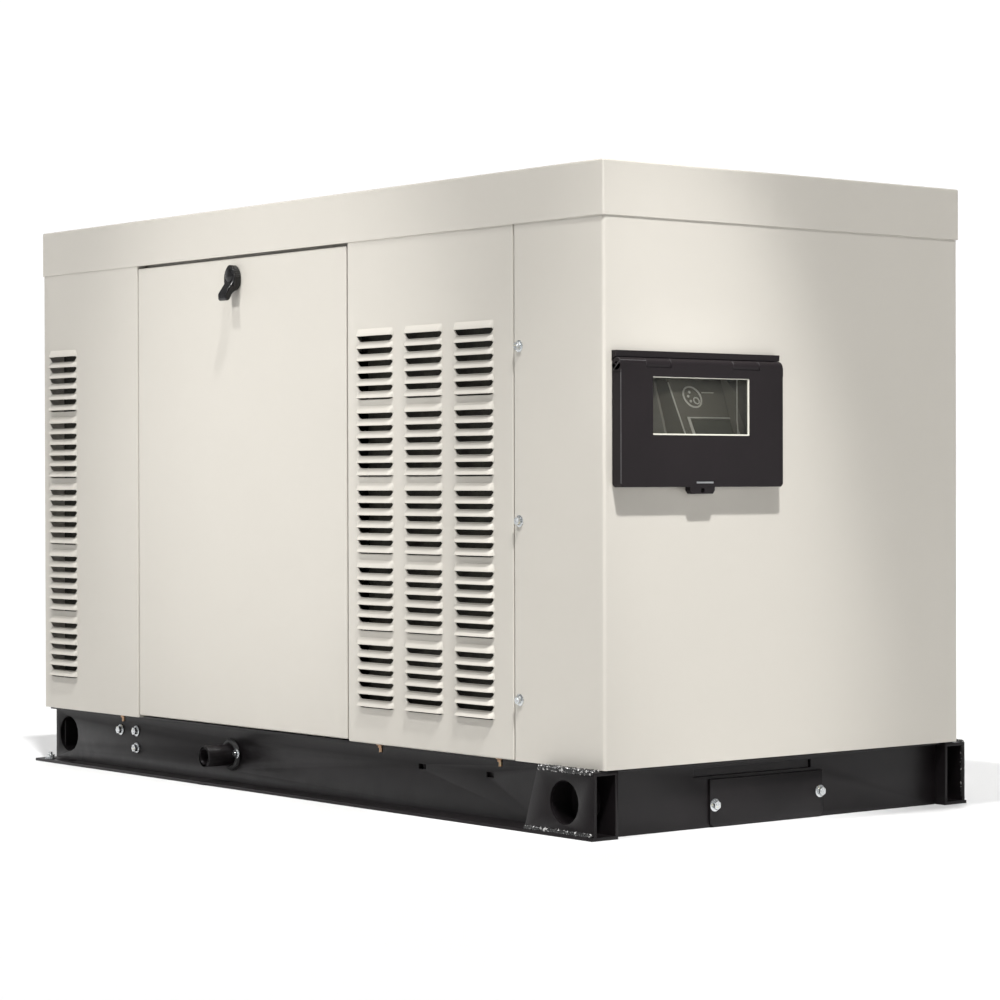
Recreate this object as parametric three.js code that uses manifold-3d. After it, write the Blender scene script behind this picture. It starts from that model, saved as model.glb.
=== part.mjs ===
// A home standby generator: a black steel base, a bisque sheet-steel enclosure with louvres and two
// tilt-out service doors, and inside it the engine, alternator, radiator, muffler, battery and controls.
// Millimetres, +Z up. +X is the control end, -Y the front. The origin is the middle of the bounding
// box on the ground.
import * as THREE from "three";
import { mergeVertices } from "three/addons/utils/BufferGeometryUtils.js";
import Module from "manifold-3d";

const wasm = await Module();
wasm.setup();

// ---------------------------------------------------------------- sizes

// Overall, and what every sheet-metal piece shares.
const LENGTH = 1580; // roof, end to end
const WIDTH = 737; // roof, front to back
const HEIGHT = 967; // ground to the top of the roof
const SHEET = 1.5; // enclosure sheet
const FIT = 0.3; // gap between pieces that touch
const PAST = 1; // how far a cutting tool runs past a face

// Base.
const BASE_HEIGHT = 98.7;
const PLATE = 5; // rail plate
const WEB_INSET = 22; // rail web behind the panel face
const FOOT_PROUD = 22; // foot flange in front of the panel face
const RAIL_END_INSET = 4; // rail end inside the roof end
const LIP = 12; // outward lip along the top of a rail or an end channel
const CHANNEL_PLATE = 4;
const CHANNEL_FLANGE = 40;
const CROSSMEMBER_WIDTH = 60;
const CROSSMEMBER_BOTTOM = 20;
const LIFT_BOX_BOTTOM_LENGTH = 158;
const LIFT_BOX_TOP_LENGTH = 126;
const LIFT_BOX_TOP = 97;
const LIFT_BOX_PROUD = 18; // welded lifting box in front of the panel face
const LIFT_HOLE_RADIUS = 32;
const LIFT_HOLE_HEIGHT = 50;
const LIFT_HOLE_FROM_CONTROL_END = 66;
const LIFT_HOLE_FROM_RADIATOR_END = 46;
const ANCHOR_RADIUS = 8;
const ANCHOR_FROM_RADIATOR_END = 96;
const RAIL_SLOT = { width: 18, height: 8, z: 66, fromControlEnd: [455, 286] };
const STUB_OPENING = { y0: -126, y1: 66, z0: 12, z1: 62 };
const STUB_BAND = { y0: -176, y1: 64, z0: 76, z1: 88 };
const STUB_COVER = { y0: -146, y1: 86, z0: 1, z1: 71, thick: 3, corner: 6 };

// Enclosure.
const ROOF_SKIRT = 79.5;
const PANEL_INSET = 2; // panel face behind the roof skirt
const FLANGE = 20; // turned-in edge of a panel or a door
const SEAM = 2; // open gap between two panels
const END_COVER_RETURN = { radiator: 327.5, control: 205.5 }; // roof's end to the seam
const LOUVRE_PANEL_LENGTH = 419;
const DOOR_BOTTOM_GAP = 3.3; // base to the bottom edge of a door
const DOOR_TOP_GAP = 4.5; // top edge of a door to the roof skirt
const HEADER_DROP = 15.5; // header below the roof skirt's edge

// Louvres.
const LOUVRE = { width: 96, pitch: 19.4, perGroup: 6, groups: 5, groupPitch: 120.8 };
const LOUVRE_TOP_DROP = 137.5; // roof skirt's edge to the top louvre
const LOUVRE_DEPTH = 8;
const LOUVRE_DROP = 11;
const LOUVRE_THICK = 2.2;
const LOUVRE_CHEEK = 3; // closed side of a column of hoods
const SIDE_COLUMNS = { count: 3, first: 75.5, pitch: 125 }; // from the door's seam
const RADIATOR_COLUMN_FROM_END = 74;
const DISCHARGE = { halfWidth: 260, z0: 190, slot: 24, pitch: 40, count: 14, rib: 16 };

// Door latch.
const LATCH = { offset: -2.5, drop: 30.5, shaft: 8, hub: 18, hubProud: 9, clearance: 1 };
const LEVER = { width: 16, reach: 29, drop: 38, thick: 5 };
const CAM = { reach: 35, half: 8, thick: 3, behind: 24 };

// Control opening, its lid and the console behind it.
const LID = { y0: -352, y1: -33, z0: 503, z1: 686, depth: 19.4, wall: 3, gap: 0.6 };
const WINDOW = { y0: -291, y1: -101.5, z0: 575.5, z1: 659, lap: 5, thick: 1.5 };
const KNUCKLES = [[-303, -256], [-133, -81.5]]; // fixed hinge lugs, between the lid's own
const HINGE = { pin: 3, hole: 3.4, lug: 9, lugGap: 0.5, neck: 3 };
const LID_TAB = { y0: -219, y1: -170, z: 491, thick: 12, hole: 4 };
const RECESS = { y0: -340, y1: -45, z0: 512, z1: 672, depth: 146 };
const BOX_WALL = 2;
const BOX_RIM = 10;
const CONSOLE = { y0: -205, y1: -47, footDepth: 18, footTop: 530, headDepth: 88 };
const DISPLAY = { y: -113, width: 80, s0: 44, s1: 84, thick: 3 };
const MODE_BUTTON = { radius: 8, s: 20, proud: 3, length: 12, travel: 2, clearance: 0.5 };
const MODE_BUTTON_PLACES = { auto_button: -156, off_button: -122, manual_button: -88 };
const BREAKER = { y0: -325, y1: -235, z0: 540, z1: 660, depth: 58 };
const TOGGLE = { y: -280, z: 610, pivot: 6, width: 20, arm: 26, thick: 9, slot: 46, side: 1 };

// Running gear. Its heights are counted from the crankshaft's axis.
const UNDER_STATOR = 31.3; // crossmember to the stator
const MOUNT_HEIGHT = 41.3; // rubber mounts, from the crossmembers to the feet
const MOUNT_RADIUS = 22;
const MOUNT_WAIST = 17.6;
const MOUNT_CAP = 8.26;
const FOOT_MARGIN = 5; // engine or stator foot round a mount
const FOOT_THICK = 10;
const ENGINE_MOUNT = { x: -490, y: 145 };
const ALTERNATOR_MOUNT = { x: 300, y: 130 };
const BLOCK = { x0: -500, x1: -140, half: 110, below: 60, above: 200 };
const CRANK_BORE = 32;
const CRANK_SHAFT = 30;
const PAN = { frontInset: 40, rearInset: 20, half: 98, bottom: -150 };
const HEAD_HEIGHT = 90;
const VALVE_COVER = { height: 70, half: 70, inset: 15, round: 18 };
const BELL = { x1: -50, outer: 190, inner: 168, wall: 10 };
const PUMP_BORE = { depth: 40, shaft: 20 }; // bores for the fan's and the charger's shafts
const FLYWHEEL = { x0: -112, x1: -84, radius: 155 };
const STATOR = { x1: 330, outer: 170, inner: 124, endWall: 12, sides: 24 };
const ROTOR = { radius: 112, x0: 0, x1: 280, shaft: 25, disc: 140, discX1: -70, end: 326 };
const BELT = { x0: -529, x1: -509, thick: 5, slack: 1 };
const CRANK_PULLEY = { radius: 75, x0: -533, x1: -505 };
const FAN_PULLEY_RADIUS = 60;
const CHARGE_PULLEY_RADIUS = 35;
const FAN_LIFT = 170;
const FAN = { radius: 205, hub: 55, x0: -590, x1: -552, shaft: 12 };
const BLADE = { count: 6, thick: 4, chord: 57, root: 45, pitch: 32 };
const FAN_NECK = 24;
const CHARGER = { y: 190, z: 120, radius: 60, x0: -498, x1: -370, shaft: 9, armInset: 20, armHalf: 15 };
const STARTER = { y: -165, z: -50, radius: 42, x0: -300 };
const SOLENOID = { radius: 21, lift: 54.6, inset: 24 };
const OIL_FILTER = { x: -390, z: 50, radius: 38, length: 95 };
const PORT = { radius: 24, x0: -460, x1: -180, count: 4 };
const INTAKE = { y0: 110, y1: 195, z0: 220, z1: 280, riserX: -290, riserRadius: 30 };
const AIR_CLEANER = { x0: -390, x1: -190, y0: 120, y1: 310, z0: 350, z1: 460 };
const EXHAUST = { y: 150, radius: 32, z: 248, pipe: 25, run: 30, inletY: 45 };
const MUFFLER = { x0: -30, x1: 380, overStator: 162, radius: 82, sides: 20, pipe: 26, legHalf: 50 };
const TAIL = { y: 40, rise: 34, underRoof: 137, run: 36, bend: 30 };

// Cooling.
const CORE = { fromEnd: 90, thick: 60, half: 270, aboveFan: 290, foot: 6, footInset: 1 };
const TANK = { proud: 8, height: 60 };
const NECK = { radius: 17, length: 18 };
const HEAD_NECK_FROM_END = 29;
const HOSE_RADIUS = 20;
const UPPER_HOSE_Y = 92;
const HOSE_BEND = 45;
const LOWER_HOSE = { y: -180, run: 24, blockY: -88, blockZ: -36 };
const SHROUD = { x1: -560, ring: 218, thick: 3, below: 270, above: 235, half: 262 };

// Battery and fuel.
const TERMINAL = { radius: 9, height: 14, fromEdge: 30, fromEnd: 52 };
const BATTERY = { fromEnd: 90, length: 260, y0: -325, y1: -155, height: 190 };
const TRAY = { z: 40, thick: 3, margin: 12, endMargin: 6, hanger: 48, lip: 24 };
const FUEL = { x: -202, z: 50, outer: 18, bore: 13, proud: 55, riseY: -285, top: 119, hole: 27 };
const REGULATOR = { z: 172, radius: 52, rimHalf: 14, cap: 31.2, y0: -325, y1: -245 };

// Planes worked out from the above.
const END_X = LENGTH / 2;
const PANEL_X = END_X - PANEL_INSET;
const PANEL_Y = WIDTH / 2 - PANEL_INSET;
const PANEL_BOTTOM = BASE_HEIGHT + FIT;
const PANEL_TOP = HEIGHT - SHEET - FIT;
const SKIRT_BOTTOM = HEIGHT - ROOF_SKIRT;
const RAIL_END = END_X - RAIL_END_INSET;
const WEB_Y = PANEL_Y - WEB_INSET;
const WEB_INNER_Y = WEB_Y - PLATE;
const FOOT_Y = PANEL_Y + FOOT_PROUD;
const SEAM_RADIATOR = -END_X + END_COVER_RETURN.radiator;
const SEAM_CONTROL = END_X - END_COVER_RETURN.control;
const SEAM_DOOR = SEAM_CONTROL - LOUVRE_PANEL_LENGTH;
const WEB_X = PANEL_X - WEB_INSET;
const LIFT_Y = PANEL_Y + LIFT_BOX_PROUD;
const ANCHOR_Y = (FOOT_Y + WEB_Y) / 2;
const ANCHOR_PLACES = [
  -RAIL_END + ANCHOR_FROM_RADIATOR_END,
  RAIL_END - LIFT_HOLE_FROM_CONTROL_END,
];
const DOOR_BOTTOM = BASE_HEIGHT + DOOR_BOTTOM_GAP;
const DOOR_TOP = SKIRT_BOTTOM - DOOR_TOP_GAP;
const LID_BACK = PANEL_X + LID.gap;
const LID_FRONT = LID_BACK + LID.depth;
const HINGE_X = LID_BACK + LID.depth / 2;
const HINGE_Z = LID.z1 - LID.depth / 2;
const BOX_BACK = PANEL_X - RECESS.depth;
const CONSOLE_FOOT = PANEL_X - CONSOLE.footDepth;
const CONSOLE_HEAD = PANEL_X - CONSOLE.headDepth;
const BREAKER_FACE = PANEL_X - BREAKER.depth;
const FEET_Z = BASE_HEIGHT + MOUNT_HEIGHT + FIT;
const CONSOLE_RISE = RECESS.z1 - CONSOLE.footTop;
const CONSOLE_TILT = Math.atan2(CONSOLE_FOOT - CONSOLE_HEAD, CONSOLE_RISE);
const LATCH_X = (SEAM_RADIATOR + SEAM_DOOR) / 2 + LATCH.offset;
const LATCH_Z = DOOR_TOP - LATCH.drop;
const LOUVRE_TOP = SKIRT_BOTTOM - LOUVRE_TOP_DROP;
const CORE_X0 = -END_X + CORE.fromEnd;
const CORE_X1 = CORE_X0 + CORE.thick;
const BATTERY_X1 = END_X - BATTERY.fromEnd;
const BATTERY_X0 = BATTERY_X1 - BATTERY.length;
const CRANK_Z = BASE_HEIGHT + UNDER_STATOR + STATOR.outer;
const FAN_Z = CRANK_Z + FAN_LIFT;
const CORE_TOP = FAN_Z + CORE.aboveFan;
const MUFFLER_Z = CRANK_Z + STATOR.outer + MUFFLER.overStator;
const BLOCK_TOP = CRANK_Z + BLOCK.above;
const HEAD_TOP = BLOCK_TOP + FIT + HEAD_HEIGHT;
const HEAD_NECK_X = BLOCK.x0 + HEAD_NECK_FROM_END;

// The bounding box runs from the roof's radiator end to the lid's face, and from the fuel pipe's
// mouth to the rear foot or latch, so the unit is shifted by half of what stands out on one side.
const FUEL_MOUTH_Y = -(WEB_Y + FUEL.proud);
const REAR_MOST_Y = Math.max(FOOT_Y, PANEL_Y + LEVER.reach);
const CENTRE_SHIFT_X = -(LID_FRONT - END_X) / 2;
const CENTRE_SHIFT_Y = (-FUEL_MOUTH_Y - REAR_MOST_Y) / 2;

// ---------------------------------------------------------------- shapes and booleans

// A three.js geometry as a manifold solid, with its shared vertices merged.
function toSolid(geometry) {
  const bare = new THREE.BufferGeometry();
  bare.setAttribute("position", geometry.getAttribute("position").clone());
  bare.setIndex(geometry.index ? geometry.index.clone() : null);
  const merged = mergeVertices(bare, 1e-4);
  const corners = merged.index.array;
  const kept = [];
  for (let i = 0; i < corners.length; i += 3) {
    const [a, b, c] = [corners[i], corners[i + 1], corners[i + 2]];
    if (a !== b && b !== c && c !== a) kept.push(a, b, c);
  }
  const mesh = new wasm.Mesh({
    numProp: 3,
    vertProperties: new Float32Array(merged.getAttribute("position").array),
    triVerts: new Uint32Array(kept),
  });
  return new wasm.Manifold(mesh);
}

// A manifold solid as a three.js geometry.
function toGeometry(solid) {
  const mesh = solid.getMesh();
  const geometry = new THREE.BufferGeometry();
  const points = new Float32Array(mesh.vertProperties);
  geometry.setAttribute("position", new THREE.BufferAttribute(points, 3));
  geometry.setIndex(new THREE.BufferAttribute(new Uint32Array(mesh.triVerts), 1));
  geometry.computeVertexNormals();
  return geometry;
}

function join(...geometries) {
  return toGeometry(geometries.map(toSolid).reduce((sum, next) => sum.add(next)));
}

function cut(geometry, ...tools) {
  return toGeometry(tools.map(toSolid).reduce((left, tool) => left.subtract(tool), toSolid(geometry)));
}

// A box from its limits along each axis.
function block([x0, x1], [y0, y1], [z0, z1]) {
  const box = new THREE.BoxGeometry(x1 - x0, y1 - y0, z1 - z0);
  return box.translate((x0 + x1) / 2, (y0 + y1) / 2, (z0 + z1) / 2);
}

// A flat outline made solid along an axis. Its points are (x, y), (x, z) or (y, z), in that order.
function prism(axis, outline, from, to) {
  const shape = new THREE.Shape(outline.map(([u, v]) => new THREE.Vector2(u, v)));
  const solid = new THREE.ExtrudeGeometry(shape, { depth: to - from, bevelEnabled: false });
  if (axis === "z") return solid.translate(0, 0, from);
  if (axis === "y") return solid.rotateX(Math.PI / 2).translate(0, to, 0);
  const turn = new THREE.Matrix4().makeBasis(
    new THREE.Vector3(0, 1, 0),
    new THREE.Vector3(0, 0, 1),
    new THREE.Vector3(1, 0, 0),
  );
  return solid.applyMatrix4(turn).translate(from, 0, 0);
}

// Turns a geometry built along +Y so that it lies along the named axis.
function alongAxis(geometry, axis) {
  if (axis === "x") return geometry.rotateZ(-Math.PI / 2);
  if (axis === "z") return geometry.rotateX(Math.PI / 2);
  return geometry;
}

// A round bar along an axis, centred on (u, v), the two other coordinates in X, Y, Z order.
function rod(axis, radius, from, to, [u, v], sides = 20) {
  const bar = alongAxis(new THREE.CylinderGeometry(radius, radius, to - from, sides), axis);
  const middle = (from + to) / 2;
  if (axis === "x") return bar.translate(middle, u, v);
  if (axis === "y") return bar.translate(u, middle, v);
  return bar.translate(u, v, middle);
}

// A turned piece along +X: its profile is a list of (distance along the axis, radius).
function turned(profile, sides = 20) {
  const points = profile.map(([along, radius]) => new THREE.Vector2(radius, along));
  return alongAxis(new THREE.LatheGeometry(points, sides), "x");
}

// A route of straight runs with rounded corners: each corner is cut back by a bend length.
function bentRoute(points, bend) {
  const places = points.map((p) => new THREE.Vector3(...p));
  const route = new THREE.CurvePath();
  let start = places[0];
  for (let i = 1; i < places.length - 1; i += 1) {
    const corner = places[i];
    const before = corner.clone().lerp(places[i - 1], bend / corner.distanceTo(places[i - 1]));
    const after = corner.clone().lerp(places[i + 1], bend / corner.distanceTo(places[i + 1]));
    route.add(new THREE.LineCurve3(start, before));
    route.add(new THREE.QuadraticBezierCurve3(before, corner, after));
    start = after;
  }
  route.add(new THREE.LineCurve3(start, places[places.length - 1]));
  return route;
}

// A round bar along a bent route.
function tube(points, radius, bend, steps = 16, sides = 10) {
  const corners = [];
  for (let i = 0; i < sides; i += 1) {
    const angle = (2 * Math.PI * i) / sides;
    corners.push(new THREE.Vector2(radius * Math.cos(angle), radius * Math.sin(angle)));
  }
  const extrudePath = bentRoute(points, bend);
  return new THREE.ExtrudeGeometry(new THREE.Shape(corners), { steps, extrudePath, bevelEnabled: false });
}

// ---------------------------------------------------------------- finishes

const paint = (color, roughness, metalness) => () =>
  new THREE.MeshStandardMaterial({ color, roughness, metalness });
const bisque = paint(0xdcd7cc, 0.45, 0.1);
const blackPaint = paint(0x1c1b1c, 0.35, 0.3);
const blackPlastic = paint(0x2d292a, 0.55, 0);
const clearPlastic = paint(0xb9c0ba, 0.08, 0);
const screenGlass = paint(0x6f7f5a, 0.2, 0);
const greyPlastic = paint(0x8a8c8c, 0.5, 0);
const steel = paint(0x9ea2a4, 0.35, 0.9);
const castIron = paint(0x3f4447, 0.6, 0.5);
const aluminium = paint(0xb4b7b8, 0.45, 0.9);
const rubber = paint(0x151515, 0.85, 0);
const zinc = paint(0xc3c8cc, 0.3, 1);
const buttonPlastics = {
  auto_button: paint(0x3f8f4a, 0.5, 0),
  off_button: paint(0xa8322c, 0.5, 0),
  manual_button: paint(0x2f5f9f, 0.5, 0),
};

const generator = new THREE.Group();
const unit = new THREE.Group();
unit.position.set(CENTRE_SHIFT_X, CENTRE_SHIFT_Y, 0);
generator.add(unit);

function group(parent = unit) {
  const made = new THREE.Group();
  parent.add(made);
  return made;
}

function piece(parent, name, geometry, material) {
  const mesh = new THREE.Mesh(geometry, material());
  mesh.name = name;
  parent.add(mesh);
  return mesh;
}

// The front half of the unit, and its mirror image at the back.
const front = group();
const rear = group();
rear.scale.y = -1;

// ---------------------------------------------------------------- base

// A folded rail with a foot flange, an upright web and a top lip, and at the control end a
// welded box with a lifting hole.
function rail(extraHoles) {
  const section = [
    [-FOOT_Y, 0],
    [-WEB_INNER_Y, 0],
    [-WEB_INNER_Y, BASE_HEIGHT],
    [-(WEB_Y + LIP), BASE_HEIGHT],
    [-(WEB_Y + LIP), BASE_HEIGHT - PLATE],
    [-WEB_Y, BASE_HEIGHT - PLATE],
    [-WEB_Y, PLATE],
    [-FOOT_Y, PLATE],
  ];
  const boxOutline = [
    [RAIL_END - LIFT_BOX_BOTTOM_LENGTH, 0],
    [RAIL_END, 0],
    [RAIL_END, LIFT_BOX_TOP],
    [RAIL_END - LIFT_BOX_TOP_LENGTH, LIFT_BOX_TOP],
  ];
  const pocketOutline = [
    [RAIL_END - LIFT_BOX_BOTTOM_LENGTH + PLATE, PLATE],
    [RAIL_END + PAST, PLATE],
    [RAIL_END + PAST, LIFT_BOX_TOP - PLATE],
    [RAIL_END - LIFT_BOX_TOP_LENGTH + PLATE, LIFT_BOX_TOP - PLATE],
  ];
  const body = join(
    prism("x", section, -RAIL_END, RAIL_END),
    prism("y", boxOutline, -LIFT_Y, -WEB_Y + PLATE / 2),
  );
  const boxHole = [RAIL_END - LIFT_HOLE_FROM_CONTROL_END, LIFT_HOLE_HEIGHT];
  const webHole = [-RAIL_END + LIFT_HOLE_FROM_RADIATOR_END, LIFT_HOLE_HEIGHT];
  const holes = [
    prism("y", pocketOutline, -(LIFT_Y - PLATE), -WEB_Y),
    rod("y", LIFT_HOLE_RADIUS, -(LIFT_Y + PAST), -(WEB_Y + PAST), boxHole),
    rod("y", LIFT_HOLE_RADIUS, -(WEB_Y + PAST), -(WEB_INNER_Y - PAST), webHole),
  ];
  for (const x of ANCHOR_PLACES) {
    holes.push(rod("z", ANCHOR_RADIUS, -PAST, PLATE + PAST, [x, -ANCHOR_Y], 16));
  }
  return cut(body, ...holes, ...extraHoles);
}

function railSlots() {
  const { width, height, z, fromControlEnd } = RAIL_SLOT;
  return fromControlEnd.map((distance) => {
    const x = RAIL_END - distance;
    return block([x - width / 2, x + width / 2], [-(WEB_Y + PAST), -(WEB_INNER_Y - PAST)], [z, z + height]);
  });
}

const fuelHole = rod("y", FUEL.hole, -(WEB_Y + PAST), -(WEB_INNER_Y - PAST), [FUEL.x, FUEL.z]);
piece(front, "front_rail", rail([fuelHole, ...railSlots()]), blackPaint);
piece(rear, "rear_rail", rail(railSlots()), blackPaint);

// An end channel: an upright web with flanges turned in and a lip turned out along the top.
function endChannel() {
  const inner = WEB_X - CHANNEL_FLANGE;
  const section = [
    [inner, 0],
    [WEB_X, 0],
    [WEB_X, BASE_HEIGHT - CHANNEL_PLATE],
    [WEB_X + LIP, BASE_HEIGHT - CHANNEL_PLATE],
    [WEB_X + LIP, BASE_HEIGHT],
    [inner, BASE_HEIGHT],
    [inner, BASE_HEIGHT - CHANNEL_PLATE],
    [WEB_X - CHANNEL_PLATE, BASE_HEIGHT - CHANNEL_PLATE],
    [WEB_X - CHANNEL_PLATE, CHANNEL_PLATE],
    [inner, CHANNEL_PLATE],
  ];
  const half = WEB_INNER_Y - FIT;
  return prism("y", section, -half, half);
}

function webHoleTool({ y0, y1, z0, z1 }) {
  return block([WEB_X - CHANNEL_PLATE - PAST, WEB_X + PAST], [y0, y1], [z0, z1]);
}

piece(
  unit,
  "control_end_crossmember",
  cut(endChannel(), webHoleTool(STUB_OPENING), webHoleTool(STUB_BAND)),
  blackPaint,
);
piece(unit, "radiator_end_crossmember", endChannel(), blackPaint).rotation.z = Math.PI;

// A cover plate with clipped lower corners over the wiring opening in the end channel.
function stubUpCover() {
  const { y0, y1, z0, z1, thick, corner } = STUB_COVER;
  const outline = [
    [y0 + corner, z0],
    [y1 - corner, z0],
    [y1, z0 + corner],
    [y1, z1],
    [y0, z1],
    [y0, z0 + corner],
  ];
  return prism("x", outline, WEB_X + FIT, WEB_X + FIT + thick);
}
piece(unit, "stub_up_cover", stubUpCover(), blackPaint);

// A crossmember open downwards, between the rails.
function crossmember(x) {
  const half = WEB_INNER_Y - FIT;
  const wide = CROSSMEMBER_WIDTH / 2;
  const inside = wide - CHANNEL_PLATE;
  return cut(
    block([x - wide, x + wide], [-half, half], [CROSSMEMBER_BOTTOM, BASE_HEIGHT]),
    block(
      [x - inside, x + inside],
      [-half - PAST, half + PAST],
      [CROSSMEMBER_BOTTOM - PAST, BASE_HEIGHT - CHANNEL_PLATE],
    ),
  );
}
piece(unit, "engine_crossmember", crossmember(ENGINE_MOUNT.x), blackPaint);
piece(unit, "alternator_crossmember", crossmember(ALTERNATOR_MOUNT.x), blackPaint);

// ---------------------------------------------------------------- enclosure

function roof() {
  return cut(
    block([-END_X, END_X], [-WIDTH / 2, WIDTH / 2], [SKIRT_BOTTOM, HEIGHT]),
    block(
      [-END_X + SHEET, END_X - SHEET],
      [-WIDTH / 2 + SHEET, WIDTH / 2 - SHEET],
      [SKIRT_BOTTOM - PAST, HEIGHT - SHEET],
    ),
  );
}
piece(unit, "roof", roof(), bisque);

// One louvre column in a front panel, centred on x: two upright cheeks, for each group an opening
// in the sheet between them, and hoods that slope out and down from cheek to cheek.
function louvreColumn(x) {
  const half = LOUVRE.width / 2;
  const face = -PANEL_Y - LOUVRE_DEPTH;
  const back = -PANEL_Y + SHEET;
  const columnBottom = LOUVRE_TOP - (LOUVRE.groups - 1) * LOUVRE.groupPitch - LOUVRE.perGroup * LOUVRE.pitch;
  const holes = [];
  const hoods = [x - half, x + half - LOUVRE_CHEEK].map((edge) =>
    block([edge, edge + LOUVRE_CHEEK], [face, back], [columnBottom - PAST, LOUVRE_TOP + PAST]),
  );
  for (let g = 0; g < LOUVRE.groups; g += 1) {
    const top = LOUVRE_TOP - g * LOUVRE.groupPitch;
    const bottom = top - LOUVRE.perGroup * LOUVRE.pitch;
    holes.push(
      block([x - half + PAST, x + half - PAST], [-PANEL_Y - PAST, back + PAST], [bottom, top]),
    );
    for (let i = 0; i < LOUVRE.perGroup; i += 1) {
      const z = top - i * LOUVRE.pitch;
      const outline = [
        [back - FIT, z],
        [face + FIT, z - LOUVRE_DROP],
        [face + FIT, z - LOUVRE_DROP - LOUVRE_THICK],
        [back - FIT, z - LOUVRE_THICK],
      ];
      const inCheek = LOUVRE_CHEEK / 2;
      hoods.push(prism("x", outline, x - half + inCheek, x + half - inCheek));
    }
  }
  return { holes, hoods };
}

function withLouvres(panel, places) {
  const columns = places.map(louvreColumn);
  const opened = cut(panel, ...columns.flatMap((column) => column.holes));
  return join(opened, ...columns.flatMap((column) => column.hoods));
}

// Swaps a front louvre piece to the back by turning its Y round.
function mirroredY(geometry) {
  const turnedRound = geometry.clone().applyMatrix4(new THREE.Matrix4().makeScale(1, -1, 1));
  const corners = turnedRound.index ? turnedRound.index.array : null;
  if (corners) {
    for (let i = 0; i < corners.length; i += 3) {
      [corners[i + 1], corners[i + 2]] = [corners[i + 2], corners[i + 1]];
    }
  }
  return turnedRound;
}

// A U-shaped cover that wraps one end: the end sheet, two returns up to the seam, a turned-in
// edge at each seam and flanges along the bottom and the top.
function wrapCover(seam) {
  const outline = (depth, edge) => [
    [seam, -PANEL_Y],
    [PANEL_X, -PANEL_Y],
    [PANEL_X, PANEL_Y],
    [seam, PANEL_Y],
    [seam, PANEL_Y - edge],
    [seam + SHEET, PANEL_Y - edge],
    [seam + SHEET, PANEL_Y - depth],
    [PANEL_X - depth, PANEL_Y - depth],
    [PANEL_X - depth, -PANEL_Y + depth],
    [seam + SHEET, -PANEL_Y + depth],
    [seam + SHEET, -PANEL_Y + edge],
    [seam, -PANEL_Y + edge],
  ];
  const flangeOutline = [
    [seam, -PANEL_Y],
    [PANEL_X, -PANEL_Y],
    [PANEL_X, PANEL_Y],
    [seam, PANEL_Y],
    [seam, PANEL_Y - FLANGE],
    [PANEL_X - FLANGE, PANEL_Y - FLANGE],
    [PANEL_X - FLANGE, -PANEL_Y + FLANGE],
    [seam, -PANEL_Y + FLANGE],
  ];
  return join(
    prism("z", outline(SHEET, FLANGE), PANEL_BOTTOM, PANEL_TOP),
    prism("z", flangeOutline, PANEL_BOTTOM, PANEL_BOTTOM + SHEET),
    prism("z", flangeOutline, PANEL_TOP - SHEET, PANEL_TOP),
  );
}

function controlEndCover() {
  const opening = block(
    [PANEL_X - SHEET - PAST, PANEL_X + PAST],
    [RECESS.y0, RECESS.y1],
    [RECESS.z0, RECESS.z1 + BOX_WALL + FIT],
  );
  return cut(wrapCover(SEAM_CONTROL + SEAM / 2), opening);
}
piece(unit, "control_end_cover", controlEndCover(), bisque);

// The radiator end cover is the same wrap turned round, so its front becomes the back. It has a
// louvre column on both returns and rows of discharge slots on the end sheet.
function radiatorEndCover() {
  const blank = wrapCover(-(SEAM_RADIATOR - SEAM / 2)).rotateZ(Math.PI);
  const slots = [];
  for (let i = 0; i < DISCHARGE.count; i += 1) {
    const z = DISCHARGE.z0 + i * DISCHARGE.pitch;
    for (const side of [-1, 1]) {
      const edges = [side * DISCHARGE.rib, side * DISCHARGE.halfWidth].sort((a, b) => a - b);
      slots.push(block([-PANEL_X - PAST, -PANEL_X + SHEET + PAST], edges, [z, z + DISCHARGE.slot]));
    }
  }
  const opened = cut(blank, ...slots);
  const columns = [-END_X + RADIATOR_COLUMN_FROM_END];
  const frontDone = withLouvres(opened, columns);
  return mirroredY(withLouvres(mirroredY(frontDone), columns));
}
piece(unit, "radiator_end_cover", radiatorEndCover(), bisque);

// A tray with four turned-in edges, open to the inside.
function tray([x0, x1], [z0, z1]) {
  return cut(
    block([x0, x1], [-PANEL_Y, -PANEL_Y + FLANGE], [z0, z1]),
    block(
      [x0 + SHEET, x1 - SHEET],
      [-PANEL_Y + SHEET, -PANEL_Y + FLANGE + PAST],
      [z0 + SHEET, z1 - SHEET],
    ),
  );
}

const sideColumns = Array.from(
  { length: SIDE_COLUMNS.count },
  (_, i) => SEAM_DOOR + SIDE_COLUMNS.first + i * SIDE_COLUMNS.pitch,
);
const louvrePanel = withLouvres(
  tray([SEAM_DOOR + SEAM / 2, SEAM_CONTROL - SEAM / 2], [PANEL_BOTTOM, PANEL_TOP]),
  sideColumns,
);
piece(front, "front_louver_panel", louvrePanel, bisque);
piece(rear, "rear_louver_panel", louvrePanel.clone(), bisque);

const latchShaftHole = rod(
  "y",
  LATCH.shaft + LATCH.clearance,
  -PANEL_Y - PAST,
  -PANEL_Y + SHEET + PAST,
  [LATCH_X, LATCH_Z],
);
const door = cut(
  tray([SEAM_RADIATOR + SEAM / 2, SEAM_DOOR - SEAM / 2], [DOOR_BOTTOM, DOOR_TOP]),
  latchShaftHole,
);
piece(front, "front_door", door, bisque);
piece(rear, "rear_door", door.clone(), bisque);

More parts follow.
